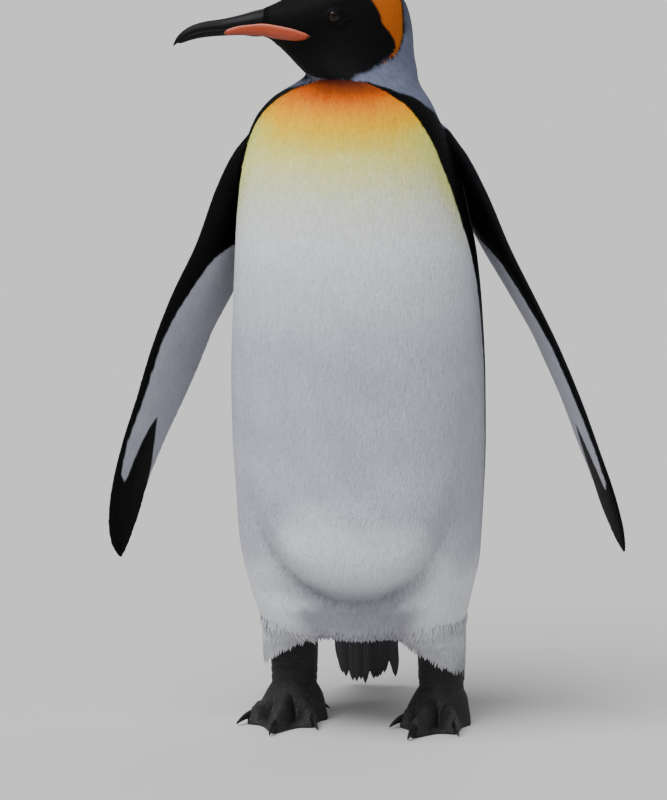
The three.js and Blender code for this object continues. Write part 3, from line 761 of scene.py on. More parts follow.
# ------------------------------------------------------------------ the one skin


def eyelid_rings(side):
    """A soft rim round the eye: rings across its section, from inside the opening out to the skin."""
    angle = np.arange(72) * 2 * np.pi / 72
    rings = []
    for radius, rise in EYELID:
        forward = radius * (1.06 * np.cos(angle) + 0.05 * np.cos(3 * angle))
        upward = radius * 0.93 * np.sin(angle)
        reach = EYE["reach"] + forward
        out = side * (EYE["out"] + rise)
        rings.append(turned(reach, out, EYE["height"] + upward, HEAD_TURN))
    return np.transpose(np.array(rings), (1, 0, 2))


def skin_parts():
    """Every part of the skin as (points, faces, colours of the points, is it bare)."""
    parts = []

    def add_surface(part, surface, paint_with, low=0.0, bare=False):
        grid, s, a = surface_rings(surface, low, surface.high, *SKIN_RINGS[part])
        points, faces = lofted(grid)
        tint = paint_with(s.ravel(), a.ravel(), points[:-2])
        parts.append((points, faces, with_ends(tint), bare))

    add_surface("body", BODY_SKIN, body_colour, low=SKIN_BOTTOM)
    for name in SIDES:
        add_surface("flipper", FLIPPER_SKINS[name], flipper_colour)
        add_surface("thigh", THIGH_SKINS[name], thigh_colour)
        add_surface("shin", shin_surface(name), bare_colour, bare=True)
        shares = 1 - (1 - np.linspace(0.2, 1, FOOT_RINGS)) ** 1.2
        points, faces = lofted(foot_rings(LEGS[name], FOOT_SIDES, shares))
        parts.append((points, faces, bare_colour(0, 0, points), True))
        points, faces = torus_mesh(eyelid_rings(SIDES[name]))
        parts.append((points, faces, LID_SKIN + 0 * points, False))
    add_surface("tail", TAIL_ROOT, tail_colour)
    return parts


def torus_mesh(grid):
    """Points and faces of a grid of points that closes on itself both ways."""
    count, sides = grid.shape[:2]
    i, j = np.meshgrid(np.arange(count), np.arange(sides), indexing="ij")
    after, beside = (i + 1) % count, (j + 1) % sides
    corners = (i * sides + j, i * sides + beside, after * sides + beside, after * sides + j)
    return grid.reshape(-1, 3), np.stack(corners, -1).reshape(-1, 4).tolist()


def points_tree(points):
    tree = KDTree(len(points))
    for i, p in enumerate(points):
        tree.insert(p, i)
    tree.balance()
    return tree


def mesh_points(mesh):
    points = np.empty(len(mesh.vertices) * 3, np.float32)
    mesh.vertices.foreach_get("co", points)
    return points.reshape(-1, 3).astype(float)


def soften_joins(mesh, known, rounds=14):
    """Smooths the skin near the lines where two parts met, which are its only new points."""
    points = mesh_points(mesh)
    height = points[:, 2] / MM
    radius = JOIN_RADIUS + HEM_JOIN_RADIUS * step(94, 100, height) * step(220, 205, height)
    fresh = [p for p in points if known.find(p)[2] > 0.02 * MM]
    seams = points_tree(fresh)
    near = np.array([seams.find(p)[2] for p in points]) / (radius * MM)
    weight = 0.6 * np.clip(1 - near, 0, 1)[:, None]
    ends = np.empty(len(mesh.edges) * 2, np.int32)
    mesh.edges.foreach_get("vertices", ends)
    one, other = ends.reshape(-1, 2).T
    count = np.bincount(ends, minlength=len(points))[:, None]
    for _ in range(rounds):
        total = np.zeros_like(points)
        for k in range(3):
            total[:, k] = np.bincount(one, points[other, k], len(points))
            total[:, k] += np.bincount(other, points[one, k], len(points))
        points += weight * (total / count - points)
    mesh.vertices.foreach_set("co", points.astype(np.float32).ravel())
    mesh.update()


def make_skin():
    parts = skin_parts()
    solids = []
    for i, (points, faces, _, _) in enumerate(parts):
        solid = make_object(f"skin_part_{i}", points, faces)
        face_outward(solid.data)
        solids.append(solid)
    whole = solids[0]
    for other in solids[1:]:
        join = whole.modifiers.new("join", "BOOLEAN")
        join.operation, join.solver, join.object = "UNION", "MANIFOLD", other
    shown = whole.evaluated_get(bpy.context.evaluated_depsgraph_get())
    mesh = bpy.data.meshes.new_from_object(shown)
    mesh.name = "skin"
    known_points = (np.concatenate([p[0] for p in parts]) + ORIGIN) * MM
    tints = np.concatenate([p[2] for p in parts])
    bare = np.concatenate([np.full(len(p[0]), p[3]) for p in parts])
    known = points_tree(known_points)
    nearest = np.array([known.find(p)[1] for p in mesh_points(mesh)])
    soften_joins(mesh, known)
    for solid in solids:
        bpy.data.objects.remove(solid)
    paint(mesh, tints[nearest])
    mesh.materials.clear()
    skin = placed("skin", mesh)
    corners = np.empty(len(mesh.loops), np.int32)
    mesh.loops.foreach_get("vertex_index", corners)
    starts = np.empty(len(mesh.polygons), np.int32)
    mesh.polygons.foreach_get("loop_start", starts)
    mesh.materials.append(plumage_material("skin_under_coat", 0.75))
    mesh.materials.append(bare_material())
    mesh.polygons.foreach_set("material_index", bare[nearest[corners[starts]]].astype(np.int32))
    mesh.shade_smooth()
    return skin


# ------------------------------------------------------------------ the coat


class Coat:
    """Feather vanes on one skin. Each vane is a closed, thin, pointed blade of ten points."""

    STATIONS = (0.0, 0.32, 0.68, 1.0)
    WIDTHS = (0.0, 1.0, 0.8, 0.0)
    HEIGHTS = (0.0, 0.6, 0.95, 0.85)
    POINTS = 10
    FACES = [
        (0, 1, 2), (0, 2, 3), (0, 3, 4), (0, 4, 1),
        (1, 5, 6, 2), (2, 6, 7, 3), (3, 7, 8, 4), (4, 8, 5, 1),
        (5, 9, 6), (6, 9, 7), (7, 9, 8), (8, 9, 5),
    ]
    # Places of the ten points on a vane's own patch of the OFBake map, and the patch's size.
    PATCH = [
        (0.5, 0), (0.1, 0.4), (0.5, 0.4), (0.9, 0.4), (0.5, 0.5),
        (0.15, 0.7), (0.5, 0.7), (0.85, 0.7), (0.5, 0.8), (0.5, 1),
    ]
    PATCH_SIZE = 0.003
    MAP_START, MAP_SPAN = 0.005, 0.99

    def __init__(self, skin):
        points = mesh_points(skin.data) / MM - ORIGIN
        polygons = [tuple(p.vertices) for p in skin.data.polygons]
        self.tree = BVHTree.FromPolygons(points.tolist(), polygons)

    def settle(self, roots, limit):
        """The way from each root to the skin, and which roots are near enough to it."""
        found = [self.tree.find_nearest(p) for p in roots.tolist()]
        moves = np.array([f[0] for f in found]) - roots
        return moves, np.linalg.norm(moves, axis=1) < limit

    def vanes(self, surface, s, a, size, lie, tint, random, spread=5.0, ragged=0.12, hang=0, limit=2.5):
        """Points, colours and root places of the vanes. size is (length, width, root and tip height)."""
        length, width, sunk, lift = (np.broadcast_to(v, s.shape) for v in size)
        hang = np.broadcast_to(hang, s.shape)[:, None]
        along, across = surface.slopes(s, a)
        normal = unit(np.cross(across, along)) * surface.outward
        per_s = np.maximum(np.linalg.norm(along, axis=1), 1e-3)
        per_a = np.maximum(np.linalg.norm(across, axis=1), 1e-3)
        root = surface.point(s, a)
        moves, keep = self.settle(root, limit)
        yaw = np.radians(random.normal(0, spread, len(s)) + 4 * speckle(root, 30, 51))
        roll = random.normal(0, 0.03, len(s))
        grow = random.uniform(1 - ragged, 1 + ragged, len(s))
        forward = unit(along) * (lie * np.cos(yaw))[:, None] + unit(across) * np.sin(yaw)[:, None]
        forward = unit(forward - UP * hang)
        normal = unit(normal - forward * np.sum(normal * forward, axis=1, keepdims=True))
        beside = unit(np.cross(normal, forward))
        beside = unit(beside + normal * roll[:, None])
        points, places, normals = [], [], []
        for share, wide, high in zip(self.STATIONS, self.WIDTHS, self.HEIGHTS):
            distance = share * length * grow
            s_here = s + lie * distance * np.cos(yaw) / per_s
            a_here = a + distance * np.sin(yaw) / per_a
            inside = np.clip(s_here, surface.low, surface.high)
            spare = np.abs(s_here - inside) * per_s
            centre = surface.point(inside, a_here) + forward * spare[:, None] + moves
            straight = root + moves + forward * distance[:, None]
            centre += (straight - centre) * np.clip(1.5 * hang, 0, 1)
            centre = centre + normal * (high * (lift + sunk) - sunk)[:, None]
            if wide == 0:
                points.append(centre)
                normals.append(unit(normal + forward * (0.25 if share else -0.25)))
                places.append((inside, a_here))
                continue
            side = beside * (0.5 * wide * width * grow)[:, None]
            crown = normal * (0.04 * width)[:, None]
            droop = 1.3 * crown
            points += [centre - side - droop, centre + crown, centre + side - droop, centre - droop - crown]
            normals += [unit(normal - 0.4 * beside), normal, unit(normal + 0.4 * beside), -normal]
            turn = 0.5 * wide * width / per_a
            places += [(inside, a_here - turn), (inside, a_here), (inside, a_here + turn), (inside, a_here)]
        points, normals = np.stack(points, 1)[keep], np.stack(normals, 1)[keep]
        places = [(p[0][keep], p[1][keep]) for p in places]
        colours = np.stack([tint(p[0], p[1], points[:, k]) for k, p in enumerate(places)], 1)
        shade = 1 + random.normal(0, 0.03, len(points))
        return points, normals, colours * shade[:, None, None], s[keep], a[keep]

    def piece(self, name, vanes, along_range, material):
        """One object of vanes, with a small patch of the OFBake map at each root's place."""
        points, normals, colours, s, a = vanes
        count = len(points)
        corners = np.array([v for f in self.FACES for v in f])
        sizes = np.array([len(f) for f in self.FACES])
        mesh = bpy.data.meshes.new(name)
        mesh.vertices.add(count * self.POINTS)
        mesh.vertices.foreach_set("co", ((points + ORIGIN) * MM).astype(np.float32).ravel())
        mesh.loops.add(count * len(corners))
        loops = (np.arange(count)[:, None] * self.POINTS + corners).ravel()
        mesh.loops.foreach_set("vertex_index", loops.astype(np.int32))
        mesh.polygons.add(count * len(sizes))
        starts = np.concatenate([[0], np.cumsum(sizes)[:-1]])
        starts = (np.arange(count)[:, None] * len(corners) + starts).ravel()
        mesh.polygons.foreach_set("loop_start", starts.astype(np.int32))
        mesh.update(calc_edges=True)
        mesh.validate()
        mesh.normals_split_custom_set_from_vertices(normals.reshape(-1, 3))
        paint(mesh, colours.reshape(-1, 3))
        low, high = along_range
        u = self.MAP_START + self.MAP_SPAN * ((a % 360) / 360)
        v = self.MAP_START + self.MAP_SPAN * (s - low) / (high - low)
        patch = np.array(self.PATCH) * self.PATCH_SIZE
        spots = np.stack([u, v], -1)[:, None] + patch - self.PATCH_SIZE / 2
        layer = mesh.uv_layers.new(name="OFBake")
        layer.data.foreach_set("uv", spots.reshape(-1, 2)[loops].astype(np.float32).ravel())
        mesh.materials.append(material)
        piece = placed(name, mesh)
        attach(piece, "root")
        return piece


def rows(surface, low, high, spacing, random):
    """Staggered rows of roots over a surface, an even distance apart. spacing is (along, across) at s."""
    angles = np.arange(0, 361, 1.0)
    s, row = low, 0
    due = np.zeros(len(angles))
    all_s, all_a = [], []
    while s < high:
        here = np.full(len(angles), s)
        along_gap, across_gap = spacing(s)
        ring = surface.point(here, angles)
        gaps = np.linalg.norm(np.diff(ring, axis=0), axis=1)
        walked = np.concatenate([[0], np.cumsum(gaps)])
        per_s = np.linalg.norm(surface.slopes(here, angles)[0], axis=1)
        widest = per_s.max()
        count = max(3, int(walked[-1] / across_gap))
        steps = (np.arange(count) + 0.5 * (row % 2) + random.uniform(-0.22, 0.22, count)) / count
        a = np.interp(steps % 1 * walked[-1], walked, angles)
        reached = due + per_s / widest
        offset = 0.5 * (np.arange(count) % 2)
        before, after = (np.interp(a, angles, d) + offset for d in (due, reached))
        keep = np.floor(after) > np.floor(before)
        due = reached
        gap = along_gap / widest
        all_a.append(a[keep])
        all_s.append(s + random.uniform(-0.45, 0.45, keep.sum()) * gap)
        s += gap
        row += 1
    return np.clip(np.concatenate(all_s), surface.low, surface.high), np.concatenate(all_a)


# ------------------------------------------------------------------ materials


class Look:
    """A material: its shader and the nodes that feed it."""

    def __init__(self, name):
        self.material = bpy.data.materials.new(name)
        self.material.use_nodes = True
        self.tree = self.material.node_tree
        self.shader = self.tree.nodes["Principled BSDF"]

    def feed(self, node, inputs):
        """Gives each input of a node a value or the output of another node."""
        for socket, value in inputs.items():
            if isinstance(value, bpy.types.NodeSocket):
                self.tree.links.new(value, node.inputs[socket])
            else:
                node.inputs[socket].default_value = value
        return node

    def node(self, kind, inputs):
        return self.feed(self.tree.nodes.new("ShaderNode" + kind), inputs)

    def place(self):
        """A point's place in the object's own space."""
        return self.node("TexCoord", {}).outputs["Object"]

    def noise(self, scale, detail, stretch=(1, 1, 1)):
        mapping = self.node("Mapping", {"Vector": self.place(), "Scale": stretch})
        inputs = {"Vector": mapping.outputs["Vector"], "Scale": scale, "Detail": detail, "Roughness": 0.55}
        return self.node("TexNoise", inputs).outputs["Fac"]

    def spread(self, source, low, high):
        """A noise's usual range as low to high."""
        inputs = {"Value": source, "From Min": 0.3, "From Max": 0.7, "To Min": low, "To Max": high}
        return self.node("MapRange", inputs).outputs["Result"]

    def painted(self, tone):
        """Shows the mesh's painted colours, made lighter or darker by a tone."""
        layer = self.tree.nodes.new("ShaderNodeVertexColor")
        layer.layer_name = PAINT
        product = self.tree.nodes.new("ShaderNodeVectorMath")
        product.operation = "SCALE"
        self.feed(product, {"Vector": layer.outputs["Color"], "Scale": tone})
        self.feed(self.shader, {"Base Color": product.outputs["Vector"]})

    def finish(self, roughness, settings, bump=None):
        """The material, with a bump given as (height, strength, distance)."""
        self.feed(self.shader, {"Roughness": roughness, **settings})
        if bump:
            inputs = dict(zip(("Height", "Strength", "Distance"), bump))
            self.feed(self.shader, {"Normal": self.node("Bump", inputs).outputs["Normal"]})
        return self.material


def plumage_material(name, roughness):
    """Satin feathers in the painted markings, with fine streaks along the body."""
    look = Look(name)
    look.painted(look.spread(look.noise(420, 3, (1, 1, 0.16)), 0.93, 1.06))
    barbs = look.noise(1900, 2, (1, 1, 0.3))
    rough = look.spread(barbs, roughness - 0.07, roughness + 0.07)
    return look.finish(rough, {"Specular IOR Level": 0.1}, (barbs, 0.25, 0.0004))


def bare_material():
    """Dry, dark, scaly skin of the legs and feet."""
    look = Look("bare_skin")
    look.painted(look.spread(look.noise(38, 5), 0.8, 1.45))
    cells = look.tree.nodes.new("ShaderNodeTexVoronoi")
    cells.feature = "DISTANCE_TO_EDGE"
    look.feed(cells, {"Vector": look.place(), "Scale": 330})
    ridge = look.node("MapRange", {"Value": cells.outputs["Distance"], "From Max": 0.16})
    grain = look.noise(900, 4)
    height = look.tree.nodes.new("ShaderNodeMath")
    height.operation = "MULTIPLY_ADD"
    look.feed(height, {0: grain, 1: 0.3, 2: ridge.outputs["Result"]})
    bump = (height.outputs["Value"], 0.6, 0.0007)
    return look.finish(look.spread(grain, 0.5, 0.72), {"Specular IOR Level": 0.4}, bump)


def horn_material(name, tint, other, roughness, scale):
    """Layered horn: colour drifts between two tones along fine growth lines."""
    look = Look(name)
    ramp = look.node("ValToRGB", {"Fac": look.noise(scale, 4, (1, 1, 3))})
    for element, position, shade in zip(ramp.color_ramp.elements, (0.35, 0.65), (tint, other)):
        element.position = position
        element.color = (*shade, 1)
    fine = look.noise(scale * 9, 3, (1, 1, 4))
    rough = look.spread(fine, roughness - 0.06, roughness + 0.1)
    settings = {"Base Color": ramp.outputs["Color"], "Specular IOR Level": 0.18}
    return look.finish(rough, settings, (fine, 0.2, 0.0003))


def plate_material():
    """Salmon-orange horn: painted tones with a waxy gloss."""
    look = Look("bill_plate_horn")
    look.painted(look.spread(look.noise(160, 4, (1, 1, 4)), 0.88, 1.1))
    fine = look.noise(1200, 3, (1, 1, 4))
    settings = {"Subsurface Weight": 0.15, "Subsurface Radius": (0.002, 0.001, 0.0006)}
    return look.finish(look.spread(fine, 0.3, 0.42), settings, (fine, 0.12, 0.0002))


def eye_material():
    """Dark brown iris round a black pupil, wet all over. The painted colour holds the rings."""
    look = Look("wet_eye")
    look.painted(look.spread(look.noise(1400, 4), 0.7, 1.35))
    settings = {"Specular IOR Level": 0.15, "Coat Weight": 0.15, "Coat Roughness": 0.02}
    return look.finish(look.spread(look.noise(300, 2), 0.03, 0.07), settings)


# ------------------------------------------------------------------ bill, plates, eyes, claws


def finish_piece(piece, material, slot, *nodes):
    face_outward(piece.data)
    piece.data.shade_smooth()
    piece.data.materials.append(material)
    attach(piece, "root")
    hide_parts(*nodes)


def head_point(reach, out, height):
    return turned(reach, out, height, HEAD_TURN)


def bill_half(edge, stations, groove):
    """One half of the bill: a D section with its flat side on the closed mouth line."""
    at = np.linspace(0, stations - 1, 12 * (stations - 1) + 1)
    columns = [smooth(c, at) for c in BILL.T]
    reach, mouth, half = columns[0], columns[2], columns[4]
    far = columns[edge]
    angle = np.linspace(0, np.pi, 25)
    flat = np.linspace(-0.94, 0.94, 9)
    away = np.sign(far - mouth)
    sine, cosine = np.sin(angle), np.cos(angle)
    rings = []
    for k in range(len(at)):
        closing = math.sqrt(max(0.02, 1 - max(0, at[k] - stations + 2) ** 2))
        slot = 0.6 * groove * (hump(angle, 0.62, 0.16) + hump(angle, np.pi - 0.62, 0.16))
        slot = slot * step(0, 1.5, at[k]) * step(stations - 1, stations - 3, at[k])
        out = (half[k] - slot * min(1, half[k] / 6)) * cosine
        rise = mouth[k] + away[k] * BILL_GAP + (far[k] - mouth[k]) * closing * sine**0.8
        under = mouth[k] + away[k] * (BILL_GAP + 0.1 * (1 - flat**2) * half[k] / 6)
        curved, closed = head_point(reach[k], out, rise), head_point(reach[k], flat * half[k], under)
        rings.append(np.concatenate([curved, closed]))
    return lofted(rings)


def make_bill():
    horn = horn_material("bill_horn_dark", colour(8, 8, 11), colour(4, 4, 6), 0.46, 60)
    for name, half in BILL_HALVES.items():
        finish_piece(make_object(name + "_horn", *bill_half(*half)), horn, "bill_horn", name)


PLATE_COLOURS = {
    "top": colour(196, 94, 62),
    "middle": colour(176, 64, 26),
    "low": colour(154, 58, 30),
    "rear": colour(40, 34, 36),
    "tip": colour(140, 66, 44),
}


def make_plates():
    material = plate_material()
    for name, side in SIDES.items():
        at = np.linspace(0, len(PLATE) - 1, 90)
        reach, height, out, half = (smooth(c, at) for c in PLATE.T)
        angle = np.arange(40) * 2 * np.pi / 40
        band = np.sin(angle)
        rings, tints = [], []
        for k in range(len(at)):
            thick = PLATE_THICKNESS * min(1, half[k] / 4)
            ridge = 0.35 * hump(band, 0.55, 0.12) * (np.cos(angle) > 0)
            lean = PLATE_LEAN * step(1.5, 4.5, at[k])
            outer = side * (out[k] + 0.5 * lean + lean * band + (thick - ridge) * np.cos(angle))
            rings.append(head_point(reach[k], outer, height[k] + half[k] * band))
            station = at[k] + 0 * band
            tint = PLATE_COLOURS["low"] + 0 * band[:, None]
            tint = mix(tint, PLATE_COLOURS["middle"], step(-0.7, 0.0, band))
            tint = mix(tint, PLATE_COLOURS["top"], step(0.45, 0.65, band))
            tint = mix(tint, PLATE_COLOURS["tip"], step(1.2, 0.2, station))
            tints.append(mix(tint, PLATE_COLOURS["rear"], step(6.2, 6.9, station)))
        colours = with_ends(np.concatenate(tints))
        piece = make_object(f"bill_plate_{name}_horn", *lofted(rings), colours)
        finish_piece(piece, material, "bill_plate", f"bill_plate_{name}")


def make_eyes():
    material = eye_material()
    pupil, iris, rim = colour(3, 3, 3), colour(34, 16, 9), colour(10, 7, 6)
    for name, side in SIDES.items():
        polar = np.linspace(2, 178, 46)
        angle = np.arange(56) * 360 / 56
        p, a = np.meshgrid(np.radians(polar), np.radians(angle), indexing="ij")
        bulge = 1 + 0.035 * hump(np.degrees(p), 0, 36)
        across = EYE["radius"] * bulge * np.sin(p)
        out = side * (EYE["out"] + EYE["radius"] * bulge * np.cos(p))
        rings = head_point(EYE["reach"] + across * np.cos(a), out, EYE["height"] + across * np.sin(a))
        ring = np.degrees(p).ravel()
        tint = mix(pupil + 0 * ring[:, None], iris, step(15, 17, ring))
        tint = mix(tint, rim, step(31, 36, ring))
        piece = make_object(f"eye_{name}_ball", *lofted(rings), with_ends(tint))
        finish_piece(piece, material, "eye", f"eye_{name}")


def claw_mesh(leg, heading, start, size, height):
    """A curved claw, keeled above and hollowed a little below."""
    share = np.linspace(0, 1, 22)
    angle = np.arange(24) * 2 * np.pi / 24
    across = np.array([math.cos(math.radians(heading)), -math.sin(math.radians(heading)), 0])
    rings = []
    for k in share:
        radius = size["radius"] * (1 - k) ** 0.6 + 0.45
        middle = height - size["drop"] * k * k + size["radius"] * 0.15
        keel = 1 + 0.1 * np.maximum(np.sin(angle), 0) ** 6 - 0.12 * hump(angle, 1.5 * np.pi, 0.5)
        rise = middle + radius * keel * np.sin(angle)
        centre = from_ankle(leg, heading, start + size["length"] * k, rise)
        rings.append(centre + across * (0.75 * radius * keel * np.cos(angle))[:, None])
    points, faces = lofted(rings)
    points[:, 2] = np.maximum(points[:, 2], 0.05)
    return points, faces


def make_claws():
    horn = horn_material("claw_horn_dark", colour(15, 14, 15), colour(36, 33, 32), 0.42, 180)
    for name, leg in LEGS.items():
        nails = {}
        for toe, (heading, reach) in leg["toes"].items():
            nails[toe] = (heading, reach - CLAW_ROOT, CLAW, CLAW_HEIGHT)
        nails["hallux"] = (SIDES[name] * HALLUX_HEADING, HALLUX_START, HALLUX, HALLUX_HEIGHT)
        for toe, nail in nails.items():
            piece = make_object(f"claw_{name}_{toe}_horn", *claw_mesh(leg, *nail))
            finish_piece(piece, horn, "claw_horn", f"claw_{name}_{toe}")


# ------------------------------------------------------------------ tail feathers


def make_tail_feathers(material):
    """Stiff, narrow feathers in three layers, longest in the middle, each a thin blade with a shaft."""
    random = np.random.default_rng(SEEDS["tail_feathers"])
    section, thickness = np.array(FEATHER_SECTION).T
    all_points, all_faces, tints = [], [], []
    count = 0
    for layer, number, rise in TAIL_LAYERS:
        for k in range(number):
            across = (k + 0.5) / number * 2 - 1
            end = 5.85 - 0.6 * across**2 - 0.3 * layer - random.uniform(0, 0.45)
            share = np.linspace(0, 1, 20)
            at = TAIL_FEATHER_START + (end - TAIL_FEATHER_START) * share
            back, height, half, thick = (smooth(c, np.minimum(at, 6)) for c in TAIL.T)
            width = 5.0 * np.clip((1 - share) / 0.2, 0, 1) ** 0.6 * (0.75 + 0.25 * share) + 0.25
            spreading = step(-0.1, 0.35, share)  # the roots are gathered inside the fleshy root
            lift = rise * (thick / 2 - 1.2) * spreading
            x = TAIL_X - 3 * share + across * np.maximum(half - 6, 30) * (0.6 + 0.4 * spreading)
            x = x + random.uniform(-1, 1) + random.uniform(-3, 3) * share**2
            tilt = 0.15 * across
            out = x[:, None] + section * width[:, None]
            high = lift[:, None] + thickness
            level = height[:, None] + 0.5 * high - tilt * section
            points, faces = lofted(vectors(out, back[:, None] + 0.85 * high, level))
            points[:, 2] = np.maximum(points[:, 2], 0.3 + 0.3 * layer)
            all_points.append(points)
            all_faces += [[v + count for v in f] for f in faces]
            tints.append(TAIL_FEATHER * random.uniform(0.85, 1.3) + 0 * points)
            count += len(points)
    piece = make_object("tail_feathers", np.concatenate(all_points), all_faces, np.concatenate(tints))
    face_outward(piece.data)
    piece.data.shade_flat()
    piece.data.materials.append(material)
    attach(piece, "root")


# ------------------------------------------------------------------ the bird

FLIPPER_SKINS = {name: flipper_surface(name, FLIPPER_DEPTH, FLIPPER_EDGE) for name in SIDES}
THIGH_SKINS = {name: thigh_surface(name) for name in SIDES}
FLESH = ["trunk", "neck", "head", "tail"]
FLESH += [f"{part}_{name}" for part in ("flipper", "thigh", "tarsus", "foot") for name in SIDES]

skin = make_skin()
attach(skin, "root")
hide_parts(*FLESH)
make_bill()
make_plates()
make_eyes()
make_claws()

FEATHERS = plumage_material("feathers", 0.62)
SCALES = plumage_material("flipper_feathers", 0.55)
coat = Coat(skin)


BODY_GAP = ([0, 12, 15, 17.5, 20, 27], [3.1, 3.0, 2.7, 2.3, 1.9, 1.5])  # distance between rows


def over_thigh(s, a):
    """1 where the lowest feathers of the trunk run on over a thigh, and 0 elsewhere."""
    away = np.abs(turned_angle(a))
    return step(22, 40, away) * step(155, 130, away) * step(3.4, 2.4, s)


def body_size(s, a):
    """Length, width, sunk root and tip height of the vanes at each place."""
    gap = np.interp(s, *BODY_GAP)
    hem = step(3.2, 1.6, s)
    thigh = over_thigh(s, a)
    short = np.interp(s, [0.5, 1.2, 2.5, 3.5], [1.6, 2.4, 4.6, 4.1])
    length = short + (np.interp(s, [0.5, 1.2, 2.5], [4.6, 5.2, 5.4]) - short) * thigh
    return length * gap, (1.45 - 0.4 * hem) * gap, 0.25 + 0 * s, (0.16 + 0.06 * hem * (1 - thigh)) * gap


def body_hang(s, a):
    """How far the vanes leave the skin and hang straight: only at the hem, and less over the thighs."""
    return (2.0 - 1.4 * over_thigh(s, a)) * step(3.0, 1.6, s) * step(0.5, 1.1, s)


def body_spacing(s):
    gap = np.interp(s, *BODY_GAP)
    return 1.4 * gap, 0.76 * gap


BANDS = [
    ("coat_underside", -0.9, 4.6, "plumage_white"),
    ("coat_belly", 4.6, 7.2, "plumage_white"),
    ("coat_waist", 7.2, 8.6, "plumage_white"),
    ("coat_middle", 8.6, 9.8, "plumage_white"),
    ("coat_chest", 9.8, 11.2, "plumage_white"),
    ("coat_breast", 11.2, 14.0, "plumage_white"),
    ("coat_neck", 14.0, 17.6, "plumage_grey"),
    ("coat_head", 17.6, 26.9, "plumage_black"),
]


def coat_body():
    random = np.random.default_rng(SEEDS["body"])
    all_s, all_a = rows(BODY_SKIN, BANDS[0][1], BANDS[-1][2], body_spacing, random)
    for name, low, high, slot in BANDS:
        inside = (all_s >= low) & (all_s < high)
        s, a = all_s[inside], all_a[inside]
        ragged = 0.12 + 0.28 * over_thigh(s, a)
        made = coat.vanes(
            BODY_SKIN, s, a, body_size(s, a), -1, body_colour, random,
            ragged=ragged, hang=body_hang(s, a),
        )
        coat.piece(name, made, (low, high), FEATHERS)


def coat_flippers():
    faces = {"inner": (0, 180, (2.7, 1.75)), "outer": (180, 360, (3.3, 2.1))}
    for number, name in enumerate(SIDES):
        surface = FLIPPER_SKINS[name]
        for face, (start, end, gaps) in faces.items():
            random = np.random.default_rng(SEEDS["flipper"] + 10 * number + start)
            s, a = rows(surface, 0.6, surface.high - 0.3, lambda s: gaps, random)
            here = (a >= start) & (a < end)
            s, a = s[here], a[here]
            share = chord_share(a)
            chord = smooth(FLIPPERS[name][:, 2], s)
            length = np.interp(s, [0, 3, 8, 12.2, 13], [2.9, 2.7, 2.5, 1.5, 0.9]) * gaps[0]
            width = np.interp(s, [0, 3, 8, 13], [1.9, 1.75, 1.6, 1.0]) * gaps[1]
            room = np.minimum(0.9 + 1.4 * (1 - share) * chord, 1.5 + 0.5 * share * chord)
            size = (length, np.minimum(width, room), 0.2, 0.32)
            made = coat.vanes(surface, s, a, size, 1, flipper_colour, random, spread=3)
            piece = coat.piece(f"coat_flipper_{name}_{face}", made, (0, surface.high), SCALES)


def coat_thighs():
    for number, name in enumerate(SIDES):
        surface = THIGH_SKINS[name]
        random = np.random.default_rng(SEEDS["thigh"] + number)
        s, a = rows(surface, 0.02, 1, lambda s: (3.0, 1.9), random)
        size = (np.interp(s, [0, 0.3], [7.0, 12.5]), 2.5 - 0.7 * step(0.3, 0.0, s), 0.25, 0.8)
        made = coat.vanes(surface, s, a, size, -1, thigh_colour, random, spread=6, ragged=0.3, hang=0.5)
        coat.piece(f"coat_thigh_{name}", made, (0, 1), FEATHERS)


def coat_tail():
    random = np.random.default_rng(SEEDS["tail"])
    s, a = rows(TAIL_ROOT, 0.05, TAIL_ROOT_END, lambda s: (2.2 + 0.7 * s, 1.7 + 0.6 * s), random)
    length = np.interp(s, [0, 0.8, 2], [10, 15, 23])
    size = (length, 2.4 + 1.0 * np.minimum(s, 2.2), 0.3, 0.4 + 0.3 * np.minimum(s, 2))
    made = coat.vanes(TAIL_ROOT, s, a, size, 1, tail_colour, random, spread=7, ragged=0.3, limit=4.0)
    coat.piece("coat_tail", made, (0, TAIL_ROOT_END), FEATHERS)


coat_body()
coat_flippers()
coat_thighs()
coat_tail()
make_tail_feathers(FEATHERS)

# ------------------------------------------------------------------ floor, light and camera

IMAGE = (667, 800)
CAMERA_AZIMUTH = 5
CAMERA_DISTANCE = 8000
CAMERA_HEIGHT = 1750
MM_PER_PIXEL = 1.03
MIDDLE_HEIGHT = 380
FLOOR_ORIGIN_PIXEL = (361, 720)
AIM_ROUNDS = 30
AIM_SHARE = 0.9  # share of the remaining error that each round takes away
SENSOR = 36
FLOOR_HALF = 20000.0
FLOOR_COLOUR = (0.62, 0.605, 0.58, 1)
# Suns: name, tilt from overhead, way round from the front, softness (degrees), strength and colour.
SUNS = [
    ("key", 30, -40, 45, 3.7, (0.97, 0.985, 1.0)),
    ("fill", 60, 10, 90, 0.3, (0.95, 0.97, 1.0)),
    ("back", 50, 170, 70, 0.9, (0.97, 0.98, 1.0)),
]
SKY_COLOUR = (0.86, 0.9, 1.0, 1)
SKY_STRENGTH = 0.24


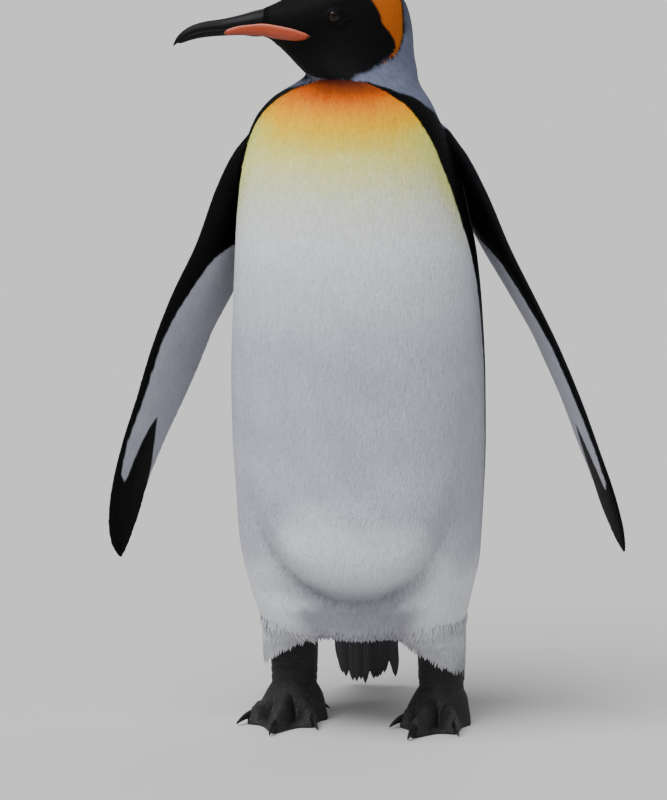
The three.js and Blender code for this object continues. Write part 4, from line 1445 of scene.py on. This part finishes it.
def aim_camera():
    """A long lens at the bird's front, aimed so that the floor under the bird falls on its own pixel."""
    azimuth = math.radians(CAMERA_AZIMUTH)
    x, y = math.sin(azimuth) * CAMERA_DISTANCE, -math.cos(azimuth) * CAMERA_DISTANCE
    eye = np.array([x, y, CAMERA_HEIGHT])
    target = UP * MIDDLE_HEIGHT
    focal = np.linalg.norm(eye - target) / MM_PER_PIXEL
    for _ in range(AIM_ROUNDS):
        back = unit(eye - target)
        right = unit(np.cross(UP, back))
        upward = np.cross(back, right)
        deep = eye @ back
        u = IMAGE[0] / 2 - focal * (eye @ right) / deep
        v = IMAGE[1] / 2 + focal * (eye @ upward) / deep
        error = (u - FLOOR_ORIGIN_PIXEL[0]) * right - (v - FLOOR_ORIGIN_PIXEL[1]) * upward
        target = target + AIM_SHARE * MM_PER_PIXEL * error
    data = bpy.data.cameras.new("camera")
    data.sensor_width = SENSOR
    data.lens = focal * data.sensor_width / max(IMAGE)
    data.clip_end = 100
    camera = placed("camera", data)
    turn = Matrix((right, upward, back)).transposed().to_4x4()
    camera.matrix_world = Matrix.Translation((eye + ORIGIN) * MM) @ turn
    bpy.context.scene.camera = camera


def make_floor():
    points = np.array([(-1, -1, 0), (1, -1, 0), (1, 1, 0), (-1, 1, 0)]) * FLOOR_HALF
    floor = make_object("floor", points, [(0, 1, 2, 3)])
    floor.data.materials.append(Look("pale_floor").finish(0.9, {"Base Color": FLOOR_COLOUR}))


def add_sun(name, tilt, around, softness, strength, tint):
    data = bpy.data.lights.new(name, "SUN")
    data.angle, data.energy, data.color = math.radians(softness), strength, tint
    placed(name, data).rotation_euler = (math.radians(tilt), 0, math.radians(around))


def light_scene():
    for sun in SUNS:
        add_sun(*sun)
    world = bpy.data.worlds.new("studio")
    world.use_nodes = True
    sky = world.node_tree.nodes["Background"]
    sky.inputs["Color"].default_value = SKY_COLOUR
    sky.inputs["Strength"].default_value = SKY_STRENGTH
    bpy.context.scene.world = world


make_floor()
light_scene()
aim_camera()
